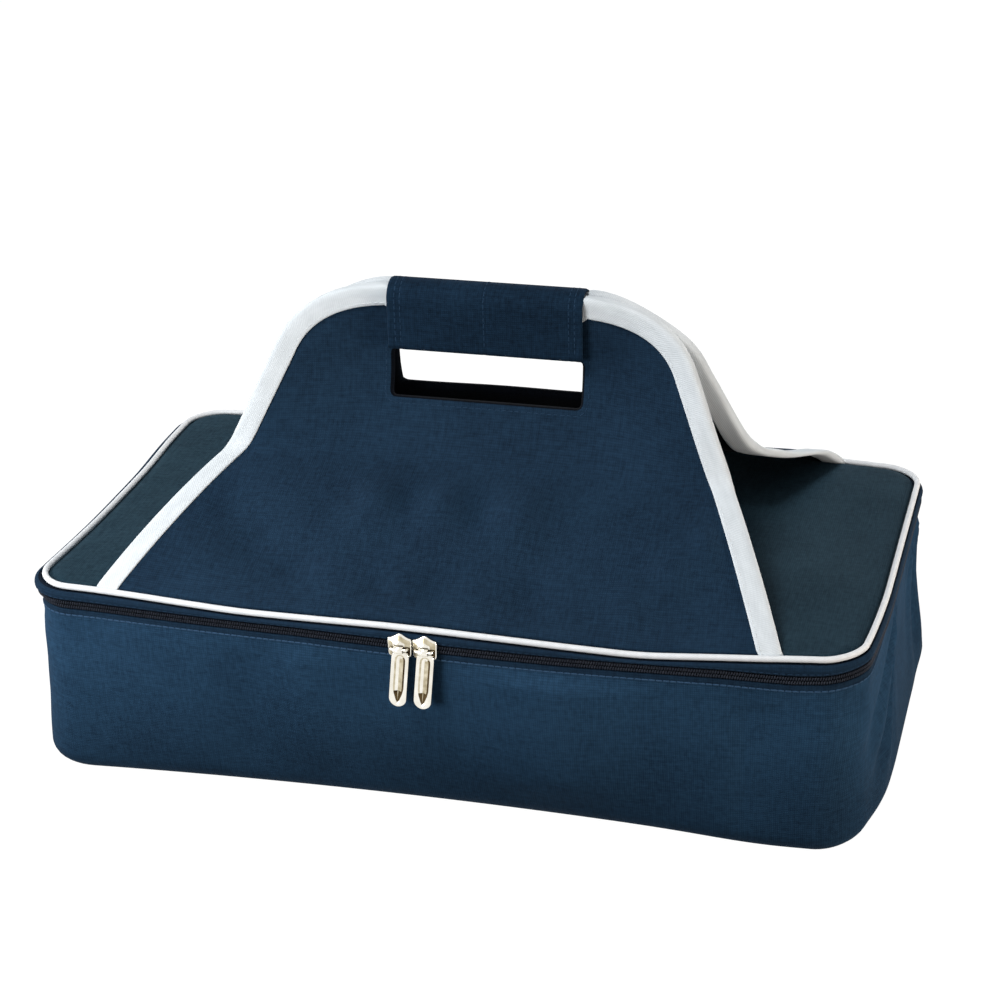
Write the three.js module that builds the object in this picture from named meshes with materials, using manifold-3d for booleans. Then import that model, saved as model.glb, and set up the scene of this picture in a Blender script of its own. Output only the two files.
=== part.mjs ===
// Insulated casserole carrier: a soft tub, a zip-round lid and two fold-down handle panels joined by a wrap-over grip.
// Millimetres, +Z up, front towards -Y, origin on the floor under the middle of the base.
import * as THREE from 'three';
import { mergeVertices } from 'three/addons/utils/BufferGeometryUtils.js';
import Module from 'manifold-3d';

const wasm = await Module();
wasm.setup();

// Bag body
const LID_WIDTH = 434;          // outer face of the lid band, end to end
const LID_DEPTH = 235;          // outer face of the lid band, front to back at the corners
const EDGE_BOW = 12;            // extra reach of each long edge at its middle, at the lid
const BASE_HOLLOW = 11;         // how far each long edge is drawn in at its middle, at the base
const CORNER_RADIUS = 22;       // plan radius of the lid corners
const SEAM_HEIGHT = 112;        // floor to the middle of the piping
const BASE_EDGE_RADIUS = 12;    // roll of the wall under the base
const END_SPREAD = 4.5;         // how far each end wall spreads from hem to base
const LONG_SPREAD = 3.5;        // the same for the front and back walls at their ends
const LID_CROWN = 3;            // rise of the lid at its middle
const LID_TUCK = 1.3;           // how far the lid panel's edge runs in under the piping
const LID_RISE = 0.5;           // middle of the piping to the top of the lid panel's edge

// Cloth and sheet thicknesses
const FIT = 0.3;                // gap left between neighbouring pieces
const CANVAS = 1.0;
const FOAM = 5.0;
const BOARD = 1.5;
const LINING = 0.6;
const TAPE = 0.8;

// Zip and edge trim
const BAND_WIDTH = 3.2;         // cloth band between the zip and the piping
const ZIP_WINDOW = 3.8;         // parting line to the cloth edge above and below
const TAPE_REACH = 12;          // parting line to the hidden edge of the lower tape
const WALL_DROP = 0.5;          // hidden edge of the lower tape to the top of the wall's foam and lining
const COIL_HEIGHT = 1.85;       // one half of the coil
const COIL_DEPTH = 1.5;
const COIL_TO_TAPE = 1;         // parting line to the near edge of either tape
const PIPING_RADIUS = 1.8;

// Handle panels
const KNEE_HALF_WIDTH = 135;    // middle to edge at the fold line
const APRON_SPREAD = 35;        // how much further out the edge is where the panel leaves the lid seam
const SHOULDER_TAPER = 23;      // how much further in it is where the sides start to round over
const SHOULDER_LEAN = 12;       // how far the corner of that rounding leans in
const SHOULDER_DROP = 3;        // the same corner below the top of the panel
const KNEE_RISE = 50.5;         // piping to the fold line
const KNEE_SETBACK = 36.5;      // bag middle to the fold line
const HANDLE_RISE = 84.5;       // fold line to the top of the panel
const APRON_ARCH = 5;           // bulge of the lower panel between seam and fold line
const APRON_STEP = 1;           // lid panel edge to the foot of the lower panel
const DISH_POWER = 2.3;         // how fast the upper panel's middle draws in above the fold line
const TOP_GATHER = 0.97;        // share of the setback drawn in along the upper panel's sides
const FOLD_TRIM = 0.25;         // cloth left off on each side of the fold line
const PANEL_CANVAS = 0.9;
const PANEL_CORE = 2.2;
const BINDING_WIDTH = 10;
const BINDING_CLOTH = 0.9;
const BINDING_SLACK = 0.5;      // room between the folded tape and the panel inside it

// Grip
const GRIP_HALF_LENGTH = 52.5;  // also half the hand slot
const SLOT_LOW = 25.5;          // fold line to the bottom of the hand slot
const SLOT_HIGH = 51;           // fold line to the top of the hand slot
const BAR_MARGIN = 2;           // cloth that lies flat past each end of the slot
const BAR_GAP = 0.6;            // from the bag's middle plane to the binding on the back of each bar
const GRIP_OVERHANG = 0.5;      // grip pad past each end of the slot
const GRIP_LIFT = 1;            // slot edge to the lower edge of the grip pad
const GRIP_PAD = 1.6;
const FASTENER = 0.9;           // hook tape or loop tape
const FASTENER_HEIGHT = 18;
const FASTENER_MARGIN = 3;      // lower edge of the grip pad to the tape
const FASTENER_INSET = 5;       // end of the slot to the end of the tape

// Zip sliders and pulls
const SLIDER_LEFT_AT = -16;     // along the front edge from the bag middle
const SLIDER_RIGHT_AT = -3.2;
const SLIDER_LENGTH = 12;
const SLIDER_PLATE = 1.5;
const SLIDER_REST = 0.4;        // coil face to the back of the slider's plate
const SLIDER_HIGH = 5;          // parting line to the plate's upper edge
const SLIDER_SIDE_LOW = 2.4;    // parting line to the lower end of its upright sides
const SLIDER_SIDE_HIGH = 2.8;   // parting line to their upper end
const SLIDER_CHAMFER_LOW = 1.6; // how far each lower corner is cut in
const SLIDER_CHAMFER_HIGH = 3;  // how far each upper corner is cut in
const LIP_INSET = 1;            // end of the plate to the end of the lip
const LIP_GAP = 0.5;            // lower coil to the lip
const LIP_SHORT = 0.4;          // zip tape to the lip's inner edge
const SEAT = 0.4;               // depth to which the slider's cast parts run into each other
const POST_AT = 4.3;            // middle of the slider to each post
const POST_WIDTH = 1.6;
const POST_HEIGHT = 2.2;
const BRIDGE_LENGTH = 8.8;
const BRIDGE_RISE = 1.5;        // parting line to the bridge
const PULL_LENGTH = 34;
const PULL_WIDTH = 9.2;
const PULL_PLATE = 1.5;
const PULL_SLANT = 6;           // degrees off plumb
const BRIDGE_RADIUS = 0.8;
const EYE_WALL = 1.1;
const EYE_PLAY = 0.35;          // room in the pull's eye round the bridge
const EYE_LENGTH = 5;
const EYE_CLEAR = 0.4;          // slider plate to the pull's eye
const NECK_HALF_WIDTH = 2.3;    // pull at its eye
const NECK_AT = 1.3;            // bridge to the start of the tab
const NECK_LENGTH = 4.2;        // over which the tab widens
const RIM = 1.7;                // raised rim round the sunk field
const FIELD_AT = 7;             // bridge to the top of the sunk field
const FIELD_DEPTH = 0.45;

// Steps of the curved outlines
const LONG_STEPS = 8;
const CORNER_STEPS = 4;
const ROLL_STEPS = 3;
const WALL_STEPS = 4;

const halfWidth = LID_WIDTH / 2;
const halfDepth = LID_DEPTH / 2;
const bandHigh = SEAM_HEIGHT - PIPING_RADIUS - FIT;
const bandLow = bandHigh - BAND_WIDTH;
const partingHeight = bandLow - ZIP_WINDOW;
const hem = partingHeight - ZIP_WINDOW;
const tapeLow = partingHeight - TAPE_REACH;
const wallTop = tapeLow - WALL_DROP;
const tapeAt = CANVAS + FIT;
const trimAt = tapeAt + TAPE + FIT;
const lidEdge = trimAt + 2 * PIPING_RADIUS - LID_TUCK;
const lidTop = SEAM_HEIGHT + LID_RISE;
const apronThickness = 2 * PANEL_CANVAS + FIT;
const handleThickness = 2 * PANEL_CANVAS + PANEL_CORE + 2 * FIT;
const bindingProud = BINDING_CLOTH + BINDING_SLACK;
const barFace = handleThickness + bindingProud + BAR_GAP;
const apronHalfWidth = KNEE_HALF_WIDTH + APRON_SPREAD;
const shoulderHalfWidth = KNEE_HALF_WIDTH - SHOULDER_TAPER;
const kneeHeight = SEAM_HEIGHT + KNEE_RISE;
const panelTop = kneeHeight + HANDLE_RISE;

const clamp01 = (value) => Math.min(1, Math.max(0, value));
const mix = (a, b, t) => a + (b - a) * t;
const smooth = (low, high, value) => {
  const t = clamp01((value - low) / (high - low));
  return t * t * (3 - 2 * t);
};

// Materials
const cloth = (colour, roughness = 0.85) => () =>
  new THREE.MeshStandardMaterial({ color: colour, roughness, metalness: 0 });
const navy = cloth(0x22374c);
const navyDark = cloth(0x15253a);
const white = cloth(0xe6ecf2, 0.7);
const black = cloth(0x14171c, 0.7);
const foamWhite = cloth(0xd9dde0, 0.9);
const silver = cloth(0xb4b9be, 0.45);
const boardGrey = cloth(0x5c6064, 0.6);
const nickel = () => new THREE.MeshStandardMaterial({ color: 0xcfc9bd, roughness: 0.2, metalness: 1 });

// Closed solid from a point list and triangles, turned outward
function solid(points, triangles) {
  let volume = 0;
  const a = new THREE.Vector3();
  for (const [i, j, k] of triangles) volume += a.copy(points[i]).cross(points[j]).dot(points[k]);
  const index = volume < 0 ? triangles.map(([i, j, k]) => [i, k, j]) : triangles;
  const geometry = new THREE.BufferGeometry();
  geometry.setAttribute('position', new THREE.Float32BufferAttribute(points.flatMap((p) => [p.x, p.y, p.z]), 3));
  geometry.setIndex(index.flat());
  geometry.computeVertexNormals();
  return geometry;
}

// Sheet between two matching grids of points; loop joins the last column to the first
function sheet(front, back, loop = false, leaveOut = () => false) {
  const points = [];
  const known = new Map();
  const columns = front[0].length;
  const vertex = (i, j) => {
    const p = front[i][j % columns];
    const key = [p.x, p.y, p.z].map((c) => c.toFixed(5)).join();
    if (!known.has(key)) {
      known.set(key, points.length);
      points.push(p, back[i][j % columns]);
    }
    return known.get(key);
  };
  const faces = [];
  for (let i = 0; i < front.length - 1; i += 1) {
    for (let j = 0; j < (loop ? columns : columns - 1); j += 1) {
      if (leaveOut(i, j)) continue;
      const [a, b, c, d] = [vertex(i, j), vertex(i, j + 1), vertex(i + 1, j + 1), vertex(i + 1, j)];
      faces.push([a, b, c], [a, c, d]);
    }
  }
  const kept = faces.filter(([a, b, c]) => a !== b && b !== c && c !== a);
  const edges = new Set();
  for (const [a, b, c] of kept) edges.add(`${a},${b}`).add(`${b},${c}`).add(`${c},${a}`);
  const triangles = [];
  for (const [a, b, c] of kept) {
    triangles.push([a, b, c], [a + 1, c + 1, b + 1]);
    for (const [p, q] of [[a, b], [b, c], [c, a]]) {
      if (!edges.has(`${q},${p}`)) triangles.push([q, p, p + 1], [q, p + 1, q + 1]);
    }
  }
  return solid(points, triangles);
}

// Section carried along a run of rings; an open run is capped at both ends
function sweep(rings, section = null) {
  const count = rings[0].length;
  const steps = section ? rings.length - 1 : rings.length;
  const triangles = [];
  for (let i = 0; i < steps; i += 1) {
    const next = (i + 1) % rings.length;
    for (let j = 0; j < count; j += 1) {
      const k = (j + 1) % count;
      const [a, b, c, d] = [i * count + j, i * count + k, next * count + k, next * count + j];
      triangles.push([a, b, c], [a, c, d]);
    }
  }
  if (section) {
    const last = (rings.length - 1) * count;
    for (const [a, b, c] of THREE.ShapeUtils.triangulateShape(section, [])) {
      triangles.push([c, b, a], [last + a, last + b, last + c]);
    }
  }
  return solid(rings.flat(), triangles);
}

// Plan outline of the bag, set in from the band face, bowed along the front and back
function outline(insetEnds, insetLong, z) {
  const a = halfWidth - insetEnds;
  const b = halfDepth - insetLong;
  const r = Math.max(CORNER_RADIUS - Math.min(insetEnds, insetLong), 3);
  const bow = mix(-BASE_HOLLOW, EDGE_BOW, clamp01(z / hem));
  const flat = [];
  const corner = (sx, sy, start) => {
    for (let k = 0; k <= CORNER_STEPS; k += 1) {
      const angle = start + (Math.PI / 2) * (k / CORNER_STEPS);
      flat.push([sx * (a - r) + r * Math.cos(angle), sy * (b - r) + r * Math.sin(angle)]);
    }
  };
  const edge = (direction, y) => {
    for (let k = 1; k < LONG_STEPS; k += 1) flat.push([direction * (a - r) * ((2 * k) / LONG_STEPS - 1), y]);
  };
  corner(-1, 1, Math.PI / 2);
  corner(-1, -1, Math.PI);
  edge(1, -b);
  corner(1, -1, 1.5 * Math.PI);
  corner(1, 1, 0);
  edge(-1, b);
  return flat.map(([x, y]) => {
    const reach = 1 + (bow / halfDepth) * (1 - (x / halfWidth) ** 2);
    return new THREE.Vector3(x, y * reach, z);
  });
}

// Outline at a height on the tub or lid, a given depth inside the outer face
function ring(z, depth) {
  const lean = clamp01((hem - z) / (hem - BASE_EDGE_RADIUS));
  return outline(depth - END_SPREAD * lean, depth - LONG_SPREAD * lean, z);
}

// Rows of one wall layer from the floor edge round the roll and up to its top
function wallRows(depth, top) {
  const roll = BASE_EDGE_RADIUS - depth;
  const rows = [];
  for (let k = 0; k <= ROLL_STEPS; k += 1) {
    const angle = (Math.PI / 2) * (k / ROLL_STEPS);
    rows.push(ring(BASE_EDGE_RADIUS - roll * Math.cos(angle), BASE_EDGE_RADIUS - roll * Math.sin(angle)));
  }
  for (let k = 1; k <= WALL_STEPS; k += 1) rows.push(ring(mix(BASE_EDGE_RADIUS, wallTop, k / WALL_STEPS), depth));
  if (top > wallTop) rows.push(ring(top, depth));
  return rows;
}

// Rows of a flat or crowned panel from its middle to its edge
function panelRows(z, depth, crown = 0) {
  const rim = ring(z, depth);
  return [0, 0.5, 1].map((scale) =>
    rim.map((p) => new THREE.Vector3(p.x * scale, p.y * scale, z + crown * (1 - scale * scale))));
}

// Part of an outline between two fractional places along it
function along(points, from, to) {
  const at = (place) => {
    const i = Math.floor(place);
    return points[i % points.length].clone().lerp(points[(i + 1) % points.length], place - i);
  };
  const run = [at(from)];
  for (let i = Math.floor(from) + 1; i < to; i += 1) run.push(points[i % points.length]);
  run.push(at(to));
  return run;
}

const backRun = 4 * (CORNER_STEPS + 1) + LONG_STEPS - 2;
const zipRun = (points) => along(points, 1, backRun - 1);
const hingeRun = (points) => along(points, backRun - 0.95, points.length + 0.95);

// Strip standing in the wall: heights from low to high, between two depths
function strip(heights, near, far, run = null) {
  const rows = (depth) => heights.map((z) => (run ? run(ring(z, depth)) : ring(z, depth)));
  return sheet(rows(near), rows(far), run === null);
}

// Rolled bead following the lid edge
function bead(z, depth, radius) {
  const sides = 8;
  const middle = ring(z, depth);
  const inner = ring(z, depth + 1);
  const rings = middle.map((p, i) => {
    const inward = inner[i].clone().sub(p).normalize();
    return Array.from({ length: sides }, (_, k) => {
      const angle = (2 * Math.PI * k) / sides;
      const point = p.clone().addScaledVector(inward, radius * Math.cos(angle));
      point.z += radius * Math.sin(angle);
      return point;
    });
  });
  return sweep(rings);
}

// Point at a depth under a surface given as a function of two parameters
function under(surface, u, v, depth) {
  const step = 0.002;
  const across = surface(u + step, v).sub(surface(u - step, v));
  const up = surface(u, v + step).sub(surface(u, v - step));
  const normal = across.cross(up).normalize();
  return surface(u, v).addScaledVector(normal, -depth);
}

// Lower handle panel: u runs from edge to edge, v from the lid seam to the fold line
const apronInset = lidEdge + APRON_STEP;
const apronFoot = lidTop + apronThickness + FIT;
function apron(u, v) {
  const x = u * mix(apronHalfWidth, KNEE_HALF_WIDTH, v);
  const seamX = u * apronHalfWidth;
  const seamY = (apronInset - halfDepth) * (1 + (EDGE_BOW / halfDepth) * (1 - (seamX / halfWidth) ** 2));
  const z = mix(apronFoot, kneeHeight, v) + 4 * APRON_ARCH * v * (1 - v);
  return new THREE.Vector3(x, mix(seamY, -KNEE_SETBACK, v), z);
}

// Upper handle panel: u runs from side to side, v from the fold line to the top
function handle(u, v) {
  const x = u * KNEE_HALF_WIDTH;
  const middle = Math.max(0, 1 - (v * HANDLE_RISE) / SLOT_HIGH) ** DISH_POWER;
  const flare = smooth(GRIP_HALF_LENGTH + BAR_MARGIN, KNEE_HALF_WIDTH - BINDING_WIDTH, Math.abs(x));
  const reach = mix(middle, 1 - TOP_GATHER * v, flare);
  return new THREE.Vector3(x, -mix(barFace, KNEE_SETBACK, reach), kneeHeight + v * HANDLE_RISE);
}

// Edge of the upper panel as [half width, height above the fold line], from the fold line to the grip
const sideAt = (rise) => mix(KNEE_HALF_WIDTH, shoulderHalfWidth, rise / SLOT_HIGH);
const shoulder = new THREE.QuadraticBezierCurve(
  new THREE.Vector2(shoulderHalfWidth, SLOT_HIGH),
  new THREE.Vector2(shoulderHalfWidth - SHOULDER_LEAN, HANDLE_RISE - SHOULDER_DROP),
  new THREE.Vector2(GRIP_HALF_LENGTH + BAR_MARGIN, HANDLE_RISE),
);
const sideRises = [
  FOLD_TRIM, SLOT_LOW * 0.28, SLOT_LOW * 0.6, SLOT_LOW,
  ...[0.25, 0.6, 1].map((share) => mix(SLOT_LOW, SLOT_HIGH, share)),
];
const panelEdge = [
  ...sideRises.map((rise) => new THREE.Vector2(sideAt(rise), rise)),
  ...[0.18, 0.36, 0.54, 0.72, 0.88, 1].map((t) => shoulder.getPoint(t)),
];
const slotRows = [sideRises.indexOf(SLOT_LOW), sideRises.length - 1];

// One layer of the upper panel between two depths, with the hand slot left out
function handleLayer(near, far) {
  const columnsAt = (half) => {
    const edge = Math.max(half - BINDING_WIDTH - 0.5, GRIP_HALF_LENGTH + (half - GRIP_HALF_LENGTH) * 0.7);
    const right = [0, 1 / 3, 2 / 3, 1].map((t) => mix(GRIP_HALF_LENGTH, edge, t)).concat(half);
    return [...right.map((x) => -x).reverse(), ...right];
  };
  const rows = (depth) => panelEdge.map(({ x, y }) =>
    columnsAt(x).map((across) => under(handle, across / KNEE_HALF_WIDTH, y / HANDLE_RISE, depth)));
  const inSlot = (i, j) => i >= slotRows[0] && i < slotRows[1] && j === 4;
  return sheet(rows(near), rows(far), false, inSlot);
}

// Folded tape over an edge, as a U section: reach over the face and depth through the panel
function bindingSection(thickness) {
  const out = -bindingProud;
  const near = -BINDING_SLACK;
  const far = thickness + bindingProud;
  return [
    [out, out], [BINDING_WIDTH, out], [BINDING_WIDTH, near], [near, near],
    [near, thickness - near], [BINDING_WIDTH, thickness - near], [BINDING_WIDTH, far], [out, far],
  ].map(([x, y]) => new THREE.Vector2(x, y));
}

// Binding that runs up one side of the upper panel, over the top and down the other side
function handleBinding() {
  const right = panelEdge.map((p) => p.clone());
  right[0].set(sideAt(1), 1);
  const path = [...right, ...right.map((p) => new THREE.Vector2(-p.x, p.y)).reverse()];
  const section = bindingSection(handleThickness);
  const rings = path.map((p, i) => {
    const before = path[Math.max(i - 1, 0)];
    const after = path[Math.min(i + 1, path.length - 1)];
    const run = after.clone().sub(before).normalize();
    const square = i === 0 || i === path.length - 1;
    const inward = square ? new THREE.Vector2(-Math.sign(p.x), 0) : new THREE.Vector2(-run.y, run.x);
    return section.map(({ x: reach, y: depth }) => {
      const at = p.clone().addScaledVector(inward, reach);
      return under(handle, at.x / KNEE_HALF_WIDTH, at.y / HANDLE_RISE, depth);
    });
  });
  return sweep(rings, section);
}

// One layer of the lower panel
function apronLayer(near, far) {
  const rises = [0, 0.25, 0.5, 0.75, 1 - FOLD_TRIM / 100];
  const places = [-1, -0.75, -0.5, -0.25, 0, 0.25, 0.5, 0.75, 1];
  const rows = (depth) => rises.map((v) => places.map((u) => under(apron, u, v, depth)));
  return sheet(rows(near), rows(far));
}

// Binding up one side of the lower panel
function apronBinding(side) {
  const section = bindingSection(apronThickness);
  const rings = [0.03, 0.25, 0.5, 0.75, 0.99].map((v) => {
    const half = mix(apronHalfWidth, KNEE_HALF_WIDTH, v);
    return section.map(({ x: reach, y: depth }) => under(apron, side * (1 - reach / half), v, depth));
  });
  return sweep(rings, section);
}

// Block between two corners
function block(x0, x1, y0, y1, z0, z1) {
  const geometry = new THREE.BoxGeometry(x1 - x0, y1 - y0, z1 - z0);
  return geometry.translate((x0 + x1) / 2, (y0 + y1) / 2, (z0 + z1) / 2);
}

// Prism with its profile in the YZ plane
function prismAlongX(profile, x0, x1) {
  const shape = new THREE.Shape(profile.map(([y, z]) => new THREE.Vector2(y, z)));
  const geometry = new THREE.ExtrudeGeometry(shape, { depth: x1 - x0, bevelEnabled: false });
  const axes = new THREE.Matrix4().makeBasis(
    new THREE.Vector3(0, 1, 0), new THREE.Vector3(0, 0, 1), new THREE.Vector3(1, 0, 0));
  return geometry.applyMatrix4(axes).translate(x0, 0, 0);
}

// Plate with its outline in the XZ plane
function plateInXZ(shape, y0, y1, curveSegments = 8) {
  const geometry = new THREE.ExtrudeGeometry(shape, { depth: y1 - y0, bevelEnabled: false, curveSegments });
  return geometry.rotateX(Math.PI / 2).translate(0, y1, 0);
}

const rod = (radius, length, sides) => new THREE.CylinderGeometry(radius, radius, length, sides).rotateZ(Math.PI / 2);

function toManifold(geometry) {
  const bare = geometry.clone();
  bare.deleteAttribute('normal');
  bare.deleteAttribute('uv');
  const merged = mergeVertices(bare, 1e-4);
  return new wasm.Manifold(new wasm.Mesh({
    numProp: 3,
    vertProperties: new Float32Array(merged.attributes.position.array),
    triVerts: new Uint32Array(merged.index.array),
  }));
}

function fromManifold(body) {
  const mesh = body.getMesh();
  const geometry = new THREE.BufferGeometry();
  geometry.setAttribute('position', new THREE.BufferAttribute(new Float32Array(mesh.vertProperties), 3));
  geometry.setIndex(new THREE.BufferAttribute(new Uint32Array(mesh.triVerts), 1));
  geometry.computeVertexNormals();
  return geometry;
}

const join = (...pieces) => fromManifold(pieces.map(toManifold).reduce((a, b) => a.add(b)));
const cut = (body, ...tools) => fromManifold(tools.map(toManifold).reduce((a, b) => a.subtract(b), toManifold(body)));

// Slider, around its own point on the zip: a shield plate, a lip under the lower coil and a bridge
const sliderLow = ZIP_WINDOW - FIT;
const plateBack = COIL_DEPTH - CANVAS + SLIDER_REST;
const plateFront = plateBack + SLIDER_PLATE;
const barrelRadius = BRIDGE_RADIUS + EYE_WALL;
const bridgeOut = plateFront + barrelRadius + EYE_CLEAR;
function sliderBody() {
  const half = SLIDER_LENGTH / 2;
  const shield = new THREE.Shape();
  shield.moveTo(-half, -SLIDER_SIDE_LOW);
  shield.lineTo(-half + SLIDER_CHAMFER_LOW, -sliderLow);
  shield.lineTo(half - SLIDER_CHAMFER_LOW, -sliderLow);
  shield.lineTo(half, -SLIDER_SIDE_LOW);
  shield.lineTo(half, SLIDER_SIDE_HIGH);
  shield.lineTo(half - SLIDER_CHAMFER_HIGH, SLIDER_HIGH);
  shield.lineTo(-half + SLIDER_CHAMFER_HIGH, SLIDER_HIGH);
  shield.lineTo(-half, SLIDER_SIDE_HIGH);
  shield.closePath();
  const plate = plateInXZ(shield, -plateFront, -plateBack);
  const lipEnd = half - LIP_INSET;
  const lip = block(-lipEnd, lipEnd, -plateFront + SEAT, CANVAS - LIP_SHORT, -sliderLow, -COIL_HEIGHT - LIP_GAP);
  const posts = [-1, 1].map((side) => {
    const [from, to] = [side * POST_AT - POST_WIDTH / 2, side * POST_AT + POST_WIDTH / 2];
    return block(from, to, -bridgeOut, -plateFront + SEAT, BRIDGE_RISE - POST_HEIGHT / 2, BRIDGE_RISE + POST_HEIGHT / 2);
  });
  const bar = rod(BRIDGE_RADIUS, BRIDGE_LENGTH, 10).translate(0, -bridgeOut, BRIDGE_RISE);
  return join(plate, lip, ...posts, bar);
}

// Pull: a rolled eye round the bridge and a slim tab with a sunk field
function pullTab() {
  const half = PULL_WIDTH / 2;
  const tip = -PULL_LENGTH + half;
  const tab = (inset, top) => {
    const shape = new THREE.Shape();
    const w = half - inset;
    shape.moveTo(-NECK_HALF_WIDTH + inset, top);
    shape.lineTo(-w, top - NECK_LENGTH);
    shape.lineTo(-w, tip);
    shape.absarc(0, tip, w, Math.PI, 2 * Math.PI, false);
    shape.lineTo(w, top - NECK_LENGTH);
    shape.lineTo(NECK_HALF_WIDTH - inset, top);
    shape.closePath();
    return shape;
  };
  const slant = THREE.MathUtils.degToRad(PULL_SLANT);
  const plate = plateInXZ(tab(0, -NECK_AT), -PULL_PLATE / 2, PULL_PLATE / 2, 10);
  const field = plateInXZ(tab(RIM, -FIELD_AT), -PULL_PLATE, -PULL_PLATE / 2 + FIELD_DEPTH, 10);
  const sunk = cut(plate, field).rotateY(slant);
  const hole = rod(BRIDGE_RADIUS + EYE_PLAY, PULL_WIDTH, 14);
  return cut(join(sunk, rod(barrelRadius, EYE_LENGTH, 14)), hole);
}

const root = new THREE.Group();
root.name = 'casserole_carrier';

function group(name, parent = root) {
  const made = new THREE.Group();
  made.name = name;
  parent.add(made);
  return made;
}

function add(parent, name, geometry, material) {
  const mesh = new THREE.Mesh(geometry, material());
  mesh.name = name;
  parent.add(mesh);
  return mesh;
}

// Copy of a geometry reflected front to back
function reflected(geometry) {
  const copy = geometry.clone();
  copy.scale(1, -1, 1);
  const index = copy.index.array;
  for (let i = 0; i < index.length; i += 3) [index[i + 1], index[i + 2]] = [index[i + 2], index[i + 1]];
  copy.computeVertexNormals();
  return copy;
}

// Tub
const tub = group('tub');
const foamAt = CANVAS + FIT;
const liningAt = foamAt + FOAM + FIT;
const innerFace = liningAt + LINING;
const floorEdge = BASE_EDGE_RADIUS + FIT;
const boardTop = foamAt + BOARD;
const floorPanel = (low, high) => sheet(panelRows(low, floorEdge), panelRows(high, floorEdge), true);
add(tub, 'tub_wall', sheet(wallRows(0, hem), wallRows(CANVAS, hem), true), navy);
add(tub, 'base_panel', floorPanel(0, CANVAS), navyDark);
add(tub, 'base_board', floorPanel(foamAt, boardTop), boardGrey);
add(tub, 'base_foam', floorPanel(boardTop + FIT, foamAt + FOAM), foamWhite);
add(tub, 'wall_foam', sheet(wallRows(foamAt, wallTop), wallRows(foamAt + FOAM, wallTop), true), foamWhite);
const liningRows = (depth) => {
  const wall = wallRows(depth, wallTop);
  const floor = [0, 0.5].map((scale) => wall[0].map((p) => new THREE.Vector3(p.x * scale, p.y * scale, p.z)));
  return [...floor, ...wall];
};
add(tub, 'tub_lining', sheet(liningRows(liningAt), liningRows(innerFace), true), silver);
add(tub, 'tub_seam_binding', strip([tapeLow, hem - 0.5], trimAt, innerFace), black);
const lowerTape = [tapeLow, hem, partingHeight - COIL_TO_TAPE];
add(tub, 'zip_tape_lower', strip(lowerTape, tapeAt, tapeAt + TAPE, zipRun), black);
const coilFront = CANVAS - COIL_DEPTH;
const coilGap = FIT / 2;
const lowerCoil = [partingHeight - coilGap - COIL_HEIGHT, partingHeight - coilGap];
add(tub, 'zip_coil_lower', strip(lowerCoil, coilFront, CANVAS, zipRun), black);
add(tub, 'hinge_strip', strip([tapeLow, hem, bandHigh], tapeAt, tapeAt + TAPE, hingeRun), navyDark);

// Lid
const lid = group('lid');
const lidLayer = (low, high) => sheet(panelRows(high, lidEdge, LID_CROWN), panelRows(low, lidEdge, LID_CROWN), true);
const lidFoamTop = lidTop - CANVAS - FIT;
const lidFoamLow = lidFoamTop - FOAM + 0.4;
add(lid, 'lid_panel', lidLayer(lidTop - CANVAS, lidTop), navy);
add(lid, 'lid_foam', lidLayer(lidFoamLow, lidFoamTop), foamWhite);
add(lid, 'lid_lining', lidLayer(lidFoamLow - FIT - LINING, lidFoamLow - FIT), silver);
add(lid, 'lid_band', strip([bandLow, bandHigh], 0, CANVAS), navy);
add(lid, 'lid_piping', bead(SEAM_HEIGHT, trimAt, PIPING_RADIUS), white);
add(lid, 'lid_seam_binding', strip([bandLow, bandHigh - 0.2], trimAt, lidEdge - FIT), black);
const upperTape = [partingHeight + COIL_TO_TAPE, bandHigh];
add(lid, 'zip_tape_upper', strip(upperTape, tapeAt, tapeAt + TAPE, zipRun), black);
const upperCoil = [partingHeight + coilGap, partingHeight + coilGap + COIL_HEIGHT];
add(lid, 'zip_coil_upper', strip(upperCoil, coilFront, CANVAS, zipRun), black);

// Lower handle panels, sewn into the lid seam
const apronFace = apronLayer(0, PANEL_CANVAS);
const apronLining = apronLayer(PANEL_CANVAS + FIT, apronThickness);
const apronEdges = { left: apronBinding(-1), right: apronBinding(1) };
add(lid, 'front_apron_face', apronFace, navy);
add(lid, 'front_apron_lining', apronLining, navyDark);
add(lid, 'rear_apron_face', reflected(apronFace), navy);
add(lid, 'rear_apron_lining', reflected(apronLining), navyDark);
for (const side of ['left', 'right']) {
  add(lid, `front_apron_binding_${side}`, apronEdges[side], white);
  add(lid, `rear_apron_binding_${side}`, reflected(apronEdges[side]), white);
}

// Upper handle panels, which fold at the knee
const frontHandle = group('front_handle');
const rearHandle = group('rear_handle');
const coreAt = PANEL_CANVAS + FIT;
const backAt = coreAt + PANEL_CORE + FIT;
const handleParts = [
  ['face', handleLayer(0, PANEL_CANVAS), navy],
  ['core', handleLayer(coreAt, coreAt + PANEL_CORE), foamWhite],
  ['lining', handleLayer(backAt, handleThickness), navyDark],
  ['binding', handleBinding(), white],
];
for (const [name, geometry, material] of handleParts) {
  add(frontHandle, `front_handle_${name}`, geometry, material);
  add(rearHandle, `rear_handle_${name}`, reflected(geometry), material);
}

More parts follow.
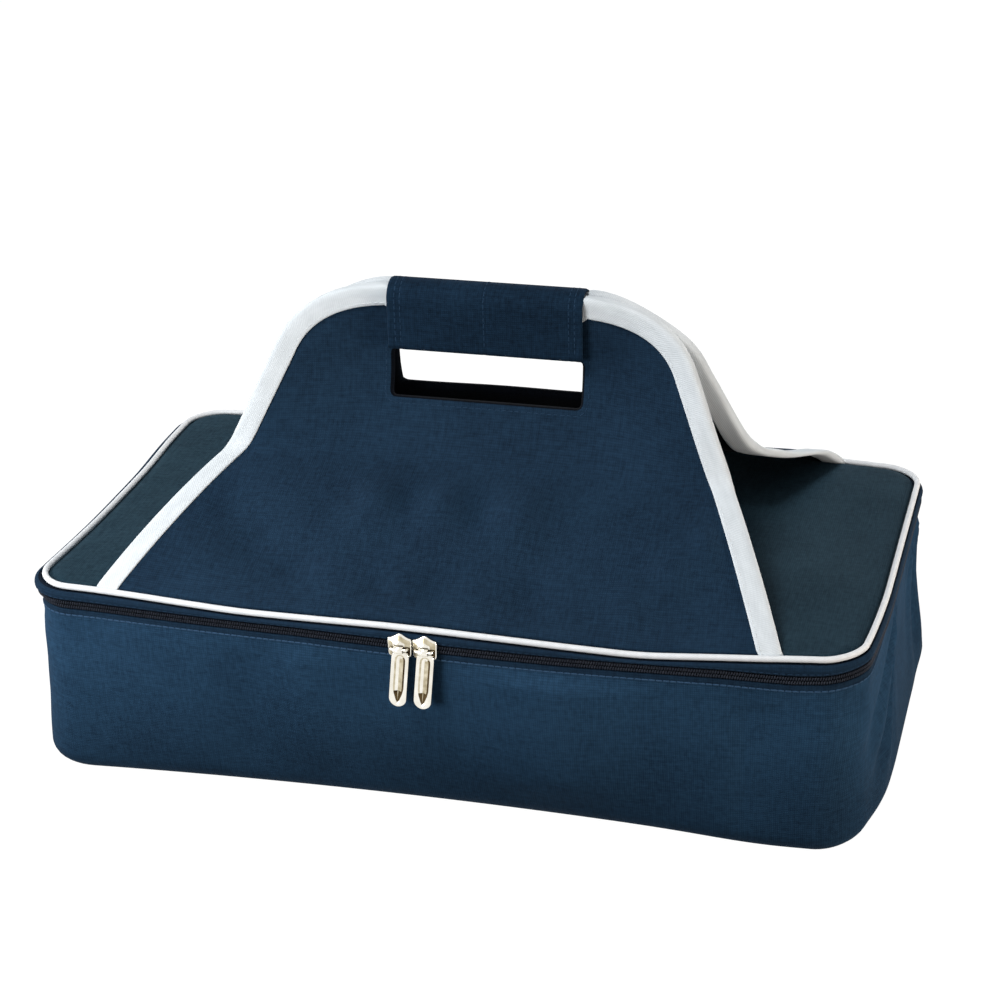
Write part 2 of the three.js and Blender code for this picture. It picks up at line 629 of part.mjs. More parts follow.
// Grip: backing on the rear bar, flap over both bars, hook and loop tape at the front
const gripLow = kneeHeight + SLOT_HIGH + GRIP_LIFT;
const gripTop = panelTop + bindingProud + FIT;
const backing = barFace + bindingProud + FIT;
const loopAt = barFace + FIT;
const hookAt = loopAt + FASTENER + FIT;
const flapAt = hookAt + FASTENER + FIT;
const ends = [-GRIP_HALF_LENGTH - GRIP_OVERHANG, GRIP_HALF_LENGTH + GRIP_OVERHANG];
const tapeEnds = [-GRIP_HALF_LENGTH + FASTENER_INSET, GRIP_HALF_LENGTH - FASTENER_INSET];
const tapeHeights = [gripLow + FASTENER_MARGIN, gripLow + FASTENER_MARGIN + FASTENER_HEIGHT];
add(rearHandle, 'grip_backing', block(...ends, backing, backing + GRIP_PAD, gripLow, gripTop), navyDark);
add(frontHandle, 'grip_loop_tape', block(...tapeEnds, -loopAt - FASTENER, -loopAt, ...tapeHeights), black);
const flap = group('grip_flap');
const flapProfile = [
  [backing + GRIP_PAD, gripTop + FIT], [backing + GRIP_PAD, gripTop + FIT + GRIP_PAD],
  [-flapAt - GRIP_PAD, gripTop + FIT + GRIP_PAD], [-flapAt - GRIP_PAD, gripLow],
  [-flapAt, gripLow], [-flapAt, gripTop + FIT],
];
add(flap, 'grip_flap', prismAlongX(flapProfile, ...ends), navyDark);
add(flap, 'grip_hook_tape', block(...tapeEnds, -hookAt - FASTENER, -hookAt, ...tapeHeights), black);

// Zip sliders on the bowed front edge, each turned to lie along it
const bowRadius = halfWidth ** 2 / (2 * EDGE_BOW);
const bowCentre = bowRadius - halfDepth - EDGE_BOW;
for (const [side, place] of [['left', SLIDER_LEFT_AT], ['right', SLIDER_RIGHT_AT]]) {
  const carrier = group(`slider_${side}_place`);
  carrier.position.set(0, bowCentre, partingHeight);
  carrier.rotation.z = Math.asin(place / bowRadius);
  const slider = add(carrier, `slider_${side}`, sliderBody(), nickel);
  slider.position.y = -bowRadius;
  const pull = add(carrier, `pull_${side}`, pullTab(), nickel);
  pull.position.set(0, -bowRadius - bridgeOut, BRIDGE_RISE);
}

export default root;
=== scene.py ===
# %% [markdown]
# # Insulated casserole carrier
# A low food bag: a foam-lined tub, a lid that zips open on three sides, and two handle panels that rise
# from the lid seam and meet in a wrap-over grip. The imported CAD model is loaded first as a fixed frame,
# so every piece below is drawn in its place by the same sizes, and only its cloth form and finish are new.

# %% Load the frame
import math

import bmesh
import bpy
import numpy as np
from mathutils import Matrix, Vector


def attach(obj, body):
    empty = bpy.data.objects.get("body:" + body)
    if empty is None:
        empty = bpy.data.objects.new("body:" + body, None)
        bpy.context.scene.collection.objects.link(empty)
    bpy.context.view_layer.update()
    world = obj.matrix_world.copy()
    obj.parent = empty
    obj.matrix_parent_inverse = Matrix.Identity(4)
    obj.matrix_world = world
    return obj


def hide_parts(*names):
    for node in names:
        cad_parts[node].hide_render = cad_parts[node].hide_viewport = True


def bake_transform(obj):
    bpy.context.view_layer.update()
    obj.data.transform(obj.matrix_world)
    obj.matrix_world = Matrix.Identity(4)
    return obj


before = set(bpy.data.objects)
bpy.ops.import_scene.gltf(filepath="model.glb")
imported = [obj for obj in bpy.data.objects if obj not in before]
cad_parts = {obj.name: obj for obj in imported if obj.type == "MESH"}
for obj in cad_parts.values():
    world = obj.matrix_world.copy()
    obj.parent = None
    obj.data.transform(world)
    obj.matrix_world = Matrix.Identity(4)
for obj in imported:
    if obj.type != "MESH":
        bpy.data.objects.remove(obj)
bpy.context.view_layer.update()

# %% [markdown]
# ## Camera
# The view is the photograph's own: from the front, a little to the right and well above the lid, with a
# long lens. It could be aimed by eye, but a camera written as a place and three turns can be checked against
# points measured on the bag, so yaw, pitch and roll are given in degrees and turned into axes here.

# %% Camera
MM = 0.001
CAMERA_AT = (330.9, -1171.0, 696.3)
YAW, PITCH, ROLL = (math.radians(a) for a in (15.64, 25.10, 1.69))
SENSOR_MM, LENS_MM = 36, 89.8
NEAREST_M, FARTHEST_M = 0.05, 60
ahead = Vector((-math.sin(YAW) * math.cos(PITCH), math.cos(YAW) * math.cos(PITCH), -math.sin(PITCH)))
level = Vector((math.cos(YAW), math.sin(YAW), 0))
down = ahead.cross(level)
right = math.cos(ROLL) * level + math.sin(ROLL) * down
up = math.sin(ROLL) * level - math.cos(ROLL) * down
camera = bpy.data.objects.new("camera", bpy.data.cameras.new("camera"))
bpy.context.scene.collection.objects.link(camera)
camera.data.sensor_width = SENSOR_MM
camera.data.lens = LENS_MM
camera.data.clip_start = NEAREST_M
camera.data.clip_end = FARTHEST_M
place = Matrix((right, up, -ahead)).transposed().to_4x4()
place.translation = Vector(CAMERA_AT) * MM
camera.matrix_world = place
bpy.context.scene.camera = camera
print("camera at", tuple(round(c, 3) for c in camera.location), "lens", camera.data.lens)

# %% [markdown]
# ## Mesh helpers
# Cloth pieces are lofted: rows of points, each row a turn round the bag or a section of a tape, joined by
# quads. Blender could skin them with modifiers, but rows keep the threads' directions, so each face corner
# also gets its place on the flat cloth in millimetres, which the weave is drawn from.

# %% Sums on points
X, Y, Z = 0, 1, 2
UPWARD = np.array([0.0, 0.0, 1.0])


def mix(a, b, t):
    return a + (b - a) * t


def smooth(start, end, value):
    """A soft step from 0 at start to 1 at end; start may be the greater of the two."""
    t = np.clip((np.asarray(value, float) - start) / (end - start), 0, 1)
    return t * t * (3 - 2 * t)


def zone(points, *limits):
    """1 inside a zone and 0 outside it; each limit is an axis and where the zone fades in along it."""
    return math.prod(smooth(start, end, points[:, axis]) for axis, start, end in limits)


def unit(vectors):
    return vectors / np.maximum(np.linalg.norm(vectors, axis=-1, keepdims=True), 1e-9)


def circle(count):
    """Angles of evenly spaced points round a circle."""
    return np.linspace(0, 2 * math.pi, count + 1)[:-1]


def squared(wave, power):
    """A wave pressed towards a square one, so that a round section becomes a flat one with soft edges."""
    return np.sign(wave) * np.abs(wave) ** power


def distances(path):
    """How far along a path each of its points lies."""
    return np.append(0, np.linalg.norm(np.diff(path, axis=0), axis=1).cumsum())


def at_distances(values, lengths, at):
    """Rows of values, known at some lengths along a path, at other distances along it."""
    return np.stack([np.interp(at, lengths, column) for column in values.T], 1)


# %% Pieces from rows
def sew(name, points, faces, cloth_places, *finishes):
    """A mesh piece from points in mm, faces, and the flat place in mm of each face corner."""
    points = np.asarray(points, float)
    mesh = bpy.data.meshes.new(name)
    mesh.from_pydata((points * MM).tolist(), [], faces)
    layer = mesh.uv_layers.new(name="flat_mm")
    layer.data.foreach_set("uv", np.asarray(cloth_places, np.float32).ravel())
    solid = bmesh.new()
    solid.from_mesh(mesh)
    if solid.calc_volume(signed=True) < 0:
        mesh.flip_normals()
    solid.free()
    mesh.shade_smooth()
    for finish in finishes:
        mesh.materials.append(finish)
    piece = bpy.data.objects.new(name, mesh)
    bpy.context.scene.collection.objects.link(piece)
    return piece


def loft(name, rows, finish, closed=False, plan=False):
    """A piece from looped rows of points; closed joins the last row to the first instead of capping both,
    and plan takes the flat places from above."""
    rows = np.asarray(rows, float)
    count, columns = rows.shape[:2]
    strips = count if closed else count - 1
    i, j = (g.ravel() for g in np.meshgrid(np.arange(strips), np.arange(columns), indexing="ij"))
    i2, j2 = (i + 1) % count, (j + 1) % columns
    quads = np.stack([i * columns + j, i * columns + j2, i2 * columns + j2, i2 * columns + j], 1)
    points = rows.reshape(-1, 3)
    if plan:
        places = points[quads][:, :, :2]
    else:
        along = np.linalg.norm(np.diff(rows, axis=1, append=rows[:, :1]), axis=2).mean(0)
        over = np.linalg.norm(np.diff(rows, axis=0, append=rows[:1]), axis=2).mean(1)
        u, v = np.append(0, along.cumsum()), np.append(0, over.cumsum())
        corners = ((0, 0), (1, 0), (1, 1), (0, 1))
        places = np.stack([np.stack([u[j + a], v[i + b]], 1) for a, b in corners], 1)
    faces, places = quads.tolist(), places.reshape(-1, 2).tolist()
    if not closed:
        for cap in (list(range(columns))[::-1], list(range((count - 1) * columns, count * columns))):
            faces.append(cap)
            places += points[cap][:, :2].tolist()
    return sew(name, points, faces, places, finish)


# %% Pieces in the frame
def stand_for(piece, nodes):
    """The piece stands for the CAD nodes named, which are hidden."""
    if nodes:
        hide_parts(*nodes)
    return piece


def put(piece, body, slot, *nodes):
    """The piece moves with one CAD body."""
    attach(piece, body)
    return stand_for(piece, nodes)


# %% [markdown]
# ## Materials
# The bag is sewn from woven polyester: navy canvas outside, a darker canvas on the grip and inside, white
# ribbed tape round the edges, black zip tape. Images of cloth could be mapped on, but a weave worked out from
# the thread spacing stays sharp at any distance. One function adds every node.

# %% Node helpers
def linear(colour):
    """An sRGB hex colour as the linear values that a shader takes."""
    parts = [int(colour[k:k + 2], 16) / 255 for k in (1, 3, 5)]
    return [c / 12.92 if c <= 0.04045 else ((c + 0.055) / 1.055) ** 2.4 for c in parts] + [1.0]


def add(tree, kind, inputs=None, **settings):
    """One node with its settings; an input is a value or another node's output."""
    node = tree.nodes.new(kind)
    for key, value in settings.items():
        setattr(node, key, value)
    for key, value in (inputs or {}).items():
        if isinstance(value, bpy.types.NodeSocket):
            tree.links.new(value, node.inputs[key])
        else:
            node.inputs[key].default_value = value
    return node


def blank(name):
    """A new material with an empty tree."""
    finish = bpy.data.materials.new(name)
    finish.use_nodes = True
    finish.node_tree.nodes.clear()
    return finish, finish.node_tree


# %% [markdown]
# ### Woven cloth
# Plain-woven polyester: warp and weft pass over and under each other, so the surface is a grid of tiny
# pillows, matt with a soft sheen, and no two yarns are quite alike. 600-denier canvas has about 0.6 mm
# between threads. That is one pixel of the picture, so it is drawn at 1.1 mm, which just shows. Uneven yarns
# are short streaks of lighter and darker colour along both threads. Broad patches and fine flecks break the
# colour up further. The tub's canvas darkens towards its base, which is painted shade.

# %% Woven cloth
CANVAS_THREAD, TAPE_THREAD = 1.1, 0.8
STREAKS_MM = ((10, 10 / 7), (10 / 7, 10), (50, 50), (2.5, 2.5))
# Painted shade: below this height the tub's canvas darkens, down to this share of its colour at the floor.
PAINTED_SHADE_BELOW, PAINTED_SHADE_FACTOR = 80, 0.6


def woven(name, shade, light, thread_mm, painted_shade_below_mm=0):
    """Plain weave between two colours; below the given height it darkens towards the floor, as painted shade.
    """
    finish, tree = blank(name)
    flat = add(tree, "ShaderNodeUVMap", uv_map="flat_mm").outputs["UV"]
    parts = add(tree, "ShaderNodeSeparateXYZ", {"Vector": flat})
    waves = []
    for axis in ("X", "Y"):
        turns = add(tree, "ShaderNodeMath", {0: parts.outputs[axis], 1: math.pi / thread_mm},
                    operation="MULTIPLY")
        waves.append(add(tree, "ShaderNodeMath", {0: turns.outputs[0]}, operation="SINE").outputs[0])
    pillow = add(tree, "ShaderNodeMath", {0: waves[0], 1: waves[1]}, operation="MULTIPLY")
    height = add(tree, "ShaderNodeMath", {0: pillow.outputs[0]}, operation="ABSOLUTE")
    uneven = 0.0
    for along_mm, across_mm in STREAKS_MM:
        scaled = add(tree, "ShaderNodeVectorMath", {0: flat, 1: (1 / along_mm, 1 / across_mm, 1)},
                     operation="MULTIPLY")
        streak = add(tree, "ShaderNodeTexNoise", {"Vector": scaled.outputs[0], "Scale": 1.0, "Detail": 3.0})
        total = add(tree, "ShaderNodeMath", {0: uneven, 1: streak.outputs["Fac"]}, operation="ADD")
        uneven = total.outputs[0]
    tone = add(tree, "ShaderNodeMapRange", {
        "Value": uneven, "From Min": 1.45, "From Max": 2.35, "To Max": 0.7})
    grain = add(tree, "ShaderNodeMath", {0: height.outputs[0], 1: 0.3, 2: tone.outputs[0]},
                operation="MULTIPLY_ADD")
    ramp = add(tree, "ShaderNodeValToRGB", {"Fac": grain.outputs[0]})
    ramp.color_ramp.elements[0].color = linear(shade)
    ramp.color_ramp.elements[1].color = linear(light)
    bump = add(tree, "ShaderNodeBump", {"Height": height.outputs[0], "Strength": 0.5, "Distance": 0.2 * MM})
    colour = ramp.outputs["Color"]
    # Painted shade: the colour is scaled down towards the floor below the given height.
    if painted_shade_below_mm:
        where = add(tree, "ShaderNodeTexCoord").outputs["Object"]
        height_m = add(tree, "ShaderNodeSeparateXYZ", {"Vector": where}).outputs["Z"]
        unshaded_share = add(tree, "ShaderNodeMapRange", {
            "Value": height_m, "From Max": painted_shade_below_mm * MM, "To Min": PAINTED_SHADE_FACTOR},
            interpolation_type="SMOOTHSTEP")
        colour = add(tree, "ShaderNodeVectorMath", {0: colour, "Scale": unshaded_share.outputs[0]},
                     operation="SCALE").outputs[0]
    cloth = add(tree, "ShaderNodeBsdfPrincipled", {
        "Base Color": colour, "Roughness": 0.8, "Normal": bump.outputs["Normal"],
        "Specular IOR Level": 0.03, "Sheen Weight": 0.01, "Sheen Roughness": 0.5})
    add(tree, "ShaderNodeOutputMaterial", {"Surface": cloth.outputs["BSDF"]})
    return finish


navy_canvas = woven("navy_polyester_canvas", "#182c40", "#2c4b67", CANVAS_THREAD, painted_shade_below_mm=PAINTED_SHADE_BELOW)
# The handle panels' canvas is the tub's navy cloth painted darker, as shade.
shade_painted_panel_canvas = woven("navy_polyester_canvas_with_painted_shade", "#111f2e", "#21384e", CANVAS_THREAD)
# The lid's canvas is the same navy cloth painted greyer, as the sheen it shows at a low angle, and a little
# darker, as shade.
sheen_painted_lid_canvas = woven("navy_polyester_canvas_with_painted_sheen_and_shade", "#13242f", "#2d4451", CANVAS_THREAD)
dark_canvas = woven("dark_navy_polyester_canvas", "#0a1623", "#1b3146", CANVAS_THREAD)
# The top strip of the tub wall and the lid's band are the navy cloth painted darker, as the shade under the
# lid's seam.
shade_painted_hem_canvas = woven("navy_polyester_canvas_with_painted_seam_shade", "#111e2d", "#1f354a", CANVAS_THREAD)
# The panels' lining is dark cloth painted near-black, as the deep shade between and under the handle panels.
shade_painted_lining = woven("dark_polyester_lining_with_painted_shade", "#04060a", "#0b1018", CANVAS_THREAD)
black_tape = woven("black_polyester_zip_tape", "#090f19", "#15202e", TAPE_THREAD)
print("woven:", navy_canvas.name, dark_canvas.name, black_tape.name)

# %% [markdown]
# ### White binding tape and piping
# Twill-woven polyester tape: fine ribs run across it on the slant, with faint flecks between them. Real ribs
# are about 0.7 mm apart, drawn here at 1.2 mm so that they show. The piping is the same tape cut on the
# bias and rolled over a cord. Ribs could be modelled, but a slanted wave in the material is enough here.

# %% White tape
FLECK_MM = (4, 50 / 3)


def twill(name, shade, light, rib_mm, slant):
    """Ribbed tape between two colours; slant is how far a rib moves along the tape for each mm across."""
    finish, tree = blank(name)
    flat = add(tree, "ShaderNodeUVMap", uv_map="flat_mm").outputs["UV"]
    parts = add(tree, "ShaderNodeSeparateXYZ", {"Vector": flat})
    lean = add(tree, "ShaderNodeMath", {0: parts.outputs["X"], 1: slant, 2: parts.outputs["Y"]},
               operation="MULTIPLY_ADD")
    turns = add(tree, "ShaderNodeMath", {0: lean.outputs[0], 1: 2 * math.pi / rib_mm}, operation="MULTIPLY")
    wave = add(tree, "ShaderNodeMath", {0: turns.outputs[0]}, operation="SINE")
    scaled = add(tree, "ShaderNodeVectorMath", {0: flat, 1: (1 / FLECK_MM[0], 1 / FLECK_MM[1], 1)},
                 operation="MULTIPLY")
    fleck = add(tree, "ShaderNodeTexNoise", {"Vector": scaled.outputs[0], "Scale": 1.0, "Detail": 4.0})
    tone = add(tree, "ShaderNodeMath", {0: wave.outputs[0], 1: 0.14, 2: fleck.outputs["Fac"]},
               operation="MULTIPLY_ADD")
    ramp = add(tree, "ShaderNodeValToRGB", {"Fac": tone.outputs[0]})
    ramp.color_ramp.elements[0].color = linear(shade)
    ramp.color_ramp.elements[0].position = 0.25
    ramp.color_ramp.elements[1].color = linear(light)
    ramp.color_ramp.elements[1].position = 0.75
    bump = add(tree, "ShaderNodeBump", {"Height": wave.outputs[0], "Strength": 0.35, "Distance": 0.12 * MM})
    cloth = add(tree, "ShaderNodeBsdfPrincipled", {
        "Base Color": ramp.outputs["Color"], "Roughness": 0.7, "Normal": bump.outputs["Normal"],
        "Specular IOR Level": 0.3, "Sheen Weight": 0.08})
    add(tree, "ShaderNodeOutputMaterial", {"Surface": cloth.outputs["BSDF"]})
    return finish


white_tape = twill("white_polyester_twill_tape", "#d1d8dd", "#e2e9ee", rib_mm=1.2, slant=0.7)
white_piping = twill("white_polyester_bias_piping", "#e4e8ec", "#f3f6f9", rib_mm=1.0, slant=0.5)
print("twill:", white_tape.name, white_piping.name)

# %% [markdown]
# ### Film, foam, nylon, thread and nickel
# The lining is heat-sealed silver film over foam: a soft metal gloss with crinkles about 15 mm apart. The
# foam is closed-cell, white and matt. Nylon coil is drawn smooth and is a dull dark grey. Sewing thread is
# twisted, so it glints a little. Hook and loop tape is black nylon, one bristly and one brushed. The pulls
# are zinc castings, polished and nickel-plated: a warm mirror with faint polishing marks. Their hollows,
# and places that other parts come close to, darken towards brown as painted shade, and some faces round
# the dome and in the sunk field take a dimmer or a dark brown nickel as painted reflections. Only grain,
# gloss and colour differ, so one function makes them.

# %% Smooth finishes
# How far the painted shade of hollows reaches.
HOLLOW_SHADE_MM = 2.5


def plain(name, shade, light, speck_mm, relief_mm, roughness, metallic=0.0, gloss_level=0.5, hollow_shade=None):
    """A finish whose colour and relief vary with a noise of the given grain size; hollows, and places that
    other parts come close to, take the given shade colour as painted shade."""
    finish, tree = blank(name)
    where = add(tree, "ShaderNodeTexCoord").outputs["Object"]
    speck = add(tree, "ShaderNodeTexNoise", {"Vector": where, "Scale": 1 / (speck_mm * MM), "Detail": 4.0})
    ramp = add(tree, "ShaderNodeValToRGB", {"Fac": speck.outputs["Fac"]})
    ramp.color_ramp.elements[0].color = linear(shade)
    ramp.color_ramp.elements[0].position = 0.3
    ramp.color_ramp.elements[1].color = linear(light)
    ramp.color_ramp.elements[1].position = 0.7
    bump = add(tree, "ShaderNodeBump", {
        "Height": speck.outputs["Fac"], "Strength": 0.5, "Distance": relief_mm * MM})
    gloss = add(tree, "ShaderNodeMapRange", {
        "Value": speck.outputs["Fac"], "To Min": roughness * 0.8, "To Max": roughness * 1.2})
    colour = ramp.outputs["Color"]
    # Painted shade: ambient occlusion, also from other parts, darkens the colour towards the given shade
    # colour.
    if hollow_shade:
        sky = add(tree, "ShaderNodeAmbientOcclusion", {"Distance": HOLLOW_SHADE_MM * MM}, samples=8)
        open_part = add(tree, "ShaderNodeMapRange", {
            "Value": sky.outputs["AO"], "From Min": 0.4, "From Max": 0.85})
        colour = add(tree, "ShaderNodeMix", {0: open_part.outputs[0], 6: linear(hollow_shade), 7: colour},
                     data_type="RGBA").outputs[2]
    skin = add(tree, "ShaderNodeBsdfPrincipled", {
        "Base Color": colour, "Roughness": gloss.outputs[0], "Normal": bump.outputs["Normal"],
        "Metallic": metallic, "Specular IOR Level": gloss_level})
    add(tree, "ShaderNodeOutputMaterial", {"Surface": skin.outputs["BSDF"]})
    return finish


# Two colours, grain and relief in mm, and roughness.
silver_film = plain("silver_lining_film", "#aab0b6", "#c8ccd0", 15, 1.2, 0.38, metallic=0.55)
white_foam = plain("white_closed_cell_foam", "#d2d6d9", "#e2e5e7", 1.2, 0.3, 0.9)
nylon_coil = plain("dark_grey_nylon_coil", "#1d222c", "#30343e", 3, 0.05, 0.6, gloss_level=0.12)
navy_thread = plain("navy_polyester_thread", "#1e3348", "#2a425b", 0.6, 0.06, 0.7, gloss_level=0.05)
pale_thread = plain("pale_blue_polyester_thread", "#2d4661", "#3d5874", 0.6, 0.06, 0.7, gloss_level=0.05)
white_thread = plain("white_polyester_thread", "#cdd3d7", "#e2e7ea", 0.6, 0.06, 0.55)
hook_tape = plain("black_hook_tape", "#0a0b0e", "#23262c", 1.0, 0.7, 0.6)
loop_tape = plain("black_loop_tape", "#0d0f12", "#1d2025", 0.7, 0.9, 0.95)
# Both nickels darken towards brown in hollows and near other parts: painted shade.
nickel = plain("polished_nickel_plate", "#e6e1d4", "#f6f3ea", 6, 0.004, 0.12, metallic=1.0, hollow_shade="#4a3f28")
# Dimmer and dark brown nickels for some faces of the castings: painted dim and dark reflections.
nickel_painted_dim_reflection = plain("nickel_with_painted_dim_reflection", "#a89c7e", "#d9d0b8", 3, 0.01, 0.3, metallic=1.0,
                     hollow_shade="#3a3019")
nickel_painted_dark_reflection = plain("nickel_with_painted_dark_reflection", "#2c2112", "#5a4a30", 4, 0.02, 0.4, metallic=1.0)
print("smooth:", [m.name for m in (silver_film, white_foam, nylon_coil, navy_thread, nickel)])

# %% [markdown]
# ## Shape of the bag
# Seen from above the bag is a rectangle with round corners whose long edges bow out. Every wall, tape and
# coil is this outline at some height and some depth inside the outer face. Each could be its own curve with a
# bevel, but one function that gives them all keeps every layer on its neighbour.

# %% Outline of the bag
HALF_WIDTH, HALF_DEPTH = 217.0, 117.5
EDGE_BOW, BASE_HOLLOW, BOW_POWER = 12.0, 11.0, 1.4
CORNER_RADIUS, LEAST_RADIUS = 22.0, 3.0
SEAM, PARTING, HEM = 112.0, 102.9, 99.1
BAND_LOW, BAND_HIGH = 106.7, 109.9
TAPE_LOW, WALL_TOP = 90.9, 90.4
HEM_EDGE, BAND_EDGE = HEM + 1.3, BAND_LOW - 1.4
BASE_ROLL, END_SPREAD, LONG_SPREAD = 12.0, 4.5, 3.5
TRIM_DEPTH, LID_DEPTH, LID_TOP = 2.4, 4.7, 112.5
CORNER_STEPS, LONG_STEPS, END_STEPS = 12, 110, 56


def outline(inset_ends, inset_long, z):
    """One turn at a height, from the back left corner by the left end and the front."""
    a, b = HALF_WIDTH - inset_ends, HALF_DEPTH - inset_long
    r = max(CORNER_RADIUS - min(inset_ends, inset_long), LEAST_RADIUS)
    turn = np.linspace(0, math.pi / 2, CORNER_STEPS + 1)
    arcs = [np.stack([sx * (a - r) + r * np.cos(start + turn), sy * (b - r) + r * np.sin(start + turn)], 1)
            for sx, sy, start in ((-1, 1, math.pi / 2), (-1, -1, math.pi), (1, -1, 1.5 * math.pi), (1, 1, 0))]
    flat = []
    for k, steps in enumerate((END_STEPS, LONG_STEPS, END_STEPS, LONG_STEPS)):
        share = np.linspace(0, 1, steps + 1)[1:-1, None]
        flat += [arcs[k], mix(arcs[k][-1], arcs[(k + 1) % 4][0], share)]
    flat = np.concatenate(flat)
    bow = mix(-BASE_HOLLOW, EDGE_BOW, 1 - (1 - min(max(z / HEM, 0), 1)) ** BOW_POWER)
    reach = 1 + bow / HALF_DEPTH * (1 - (flat[:, 0] / HALF_WIDTH) ** 2)
    return np.stack([flat[:, 0], flat[:, 1] * reach, np.full(len(flat), z)], 1)


print("points in one turn:", len(outline(0, 0, SEAM)))

# %% [markdown]
# ### How the filled bag stands
# A soft bag is never quite true. The left front corner is pushed out, the right one has slumped at the base,
# the ends belly a little, and the zip and the lid's seam rise and fall along the front. The meshes could be
# sculpted, but a function of place moves all layers alike, so none comes through its neighbour. Each move
# is a size in millimetres and the zone where it fades in.

# %% How the filled bag stands
ZIP_WANDER = ((-217, -150, -70, -25, 10, 60, 145, 182, 217), (-0.5, 0.8, 2.2, 1.8, 1.2, 0.8, 1.0, -0.5, -0.3))
SEAM_WANDER = ((-217, -160, -102, -76, -25, 6, 46, 106, 145, 184, 217),
               (0.2, 0.5, -0.6, 0.1, 1.4, 1.2, 0, -2.3, -0.2, 1.3, 0))
FRONT, ZIP_HEIGHTS, SEAM_HEIGHTS = (Y, -70, -100), (Z, 86, 97), (Z, 105.5, 110.5)
LEFT_BELLY, RIGHT_BELLY, BELLY_FROM = 1.0, -1.5, 0.6
# Outward moves of the ends: the left lip of the lid, the right base, the right rim, the left rim at the
# back and the left front corner at the floor.
END_MOVES = ((3.2, (X, -185, -215), (Z, 101, 105.5), (Z, 111.5, 109)),
             (2.5, (X, BELLY_FROM * HALF_WIDTH, HALF_WIDTH), (Z, 70, 15)),
             (1.6, (X, 185, 215), (Y, -90, -30), (Z, 96, 100)),
             (2.2, (X, -150, -215), (Y, 20, 80), (Z, 85, 100)),
             (3.0, (X, -185, -215), FRONT, (Z, 45, 5)))
# Moves of the front corners in x and y, with each corner's place and reach: the left one is pushed out to the
# left and, close to the end, forward; the right one is drawn in at the base, and a little at the rim.
CORNER_MOVES = (((-4.0, 0.0), (-217, -112), 38, (Z, -30, 100)),
                ((0.0, -1.2), (-217, -112), 38, (Z, -30, 100), (X, -178, -205)),
                ((-9.0, 4.05), (217, -112), 26, (Z, 85, 10)),
                ((-3.0, 3.0), (217, -118), 20, (Z, 60, 105)))
# The foot of the front wall stands forward near its right end.
TOE_OUT, TOE_AT, TOE_REACH, TOE_ZONE = 1.5, 160.0, 35.0, ((Y, -60, -100), (Z, 60, 10))


def seam_rise(x):
    """How far the front seam of the lid lies above its level line, with the bends eased."""
    return sum(np.interp(x + shift, *SEAM_WANDER) for shift in (-8, 0, 8)) / 3


def settled(points):
    """The filled bag stands a little unevenly, and its zip wanders up and down along the front."""
    x, y, z = points.T
    belly = np.where(x > 0, RIGHT_BELLY, LEFT_BELLY) * smooth(BELLY_FROM, 1, np.abs(x) / HALF_WIDTH)
    belly = belly * np.sin(math.pi * np.clip(z / HEM, 0, 1))
    for out, *limits in END_MOVES:
        belly = belly + out * zone(points, *limits)
    across = np.sign(x) * belly
    along = -TOE_OUT * np.exp(-((x - TOE_AT) / TOE_REACH) ** 2) * zone(points, *TOE_ZONE)
    for (move_x, move_y), (corner_x, corner_y), reach, *limits in CORNER_MOVES:
        near = np.exp(-((x - corner_x) ** 2 + (y - corner_y) ** 2) / (2 * reach ** 2))
        near = near * zone(points, *limits)
        across, along = across + move_x * near, along + move_y * near
    zip_rise = np.interp(x, *ZIP_WANDER) * zone(points, ZIP_HEIGHTS)
    wander = mix(zip_rise, seam_rise(x), zone(points, SEAM_HEIGHTS)) * zone(points, FRONT)
    return points + np.stack([across, along, wander], 1)


def ring(z, depth):
    """The outline at a height, a given depth inside the outer face."""
    lean = min(max((HEM - z) / (HEM - BASE_ROLL), 0), 1)
    return settled(outline(depth - END_SPREAD * lean, depth - LONG_SPREAD * lean, z))


def outward(points):
    """Level directions out of a ring of points."""
    run = np.roll(points, -1, 0) - np.roll(points, 1, 0)
    return unit(np.stack([run[:, 1], -run[:, 0], np.zeros(len(run))], 1))


rim = ring(SEAM, 0)
print("length of the rim, mm:", round(float(distances(np.append(rim, rim[:1], 0))[-1])))

# %% [markdown]
# ## Tub wall
# The wall is canvas bonded to foam, turned over at the hem and rolled under at the base. Cloth over foam is
# never flat: it swells a little between base and hem, puckers fan out over the right end, and where it is
# eased round the corners it falls into small upright folds. A cloth simulation could give such folds, but
# not these ones, so they are moves of the outer rows only, and the lining side stays true.

# %% Cloth over foam
WALL_FRONT, END_SHARES = (Y, -60, -100), (0.84, 0.97)
BROAD_RIPPLE, FINE_RIPPLE = 0.7, 0.4
BULGES = ((-68, 12, 2.2), (60, 40, 5.0), (-102, 10, -1.4), (166, 16, -2.0))
CREASE_AT, CREASE_WIDTH, CREASE_DEPTH = 157.0, 4.0, 0.8
FAN_Y, FAN_TURN, FAN_SPREAD, FAN_NEAR, FAN_FAR = 10.0, 0.95, 0.35, (10, 40), (130, 85)
PUCKER_HEIGHT, PUCKERS = 3.0, 20
CORNER_FOLDS, FOLD_REACH, FOLDS = ((1, 84, 2.0), (-1, -84, 0.5), (-1, 84, 0.7)), 30.0, 15
FREE_WALL = ((Z, 4, 34), (Z, 98, 88))
DEEPEST, DEEPEST_AT_ZIP, ZIP_BEHIND = -4.0, -0.5, (Z, 76, 90)


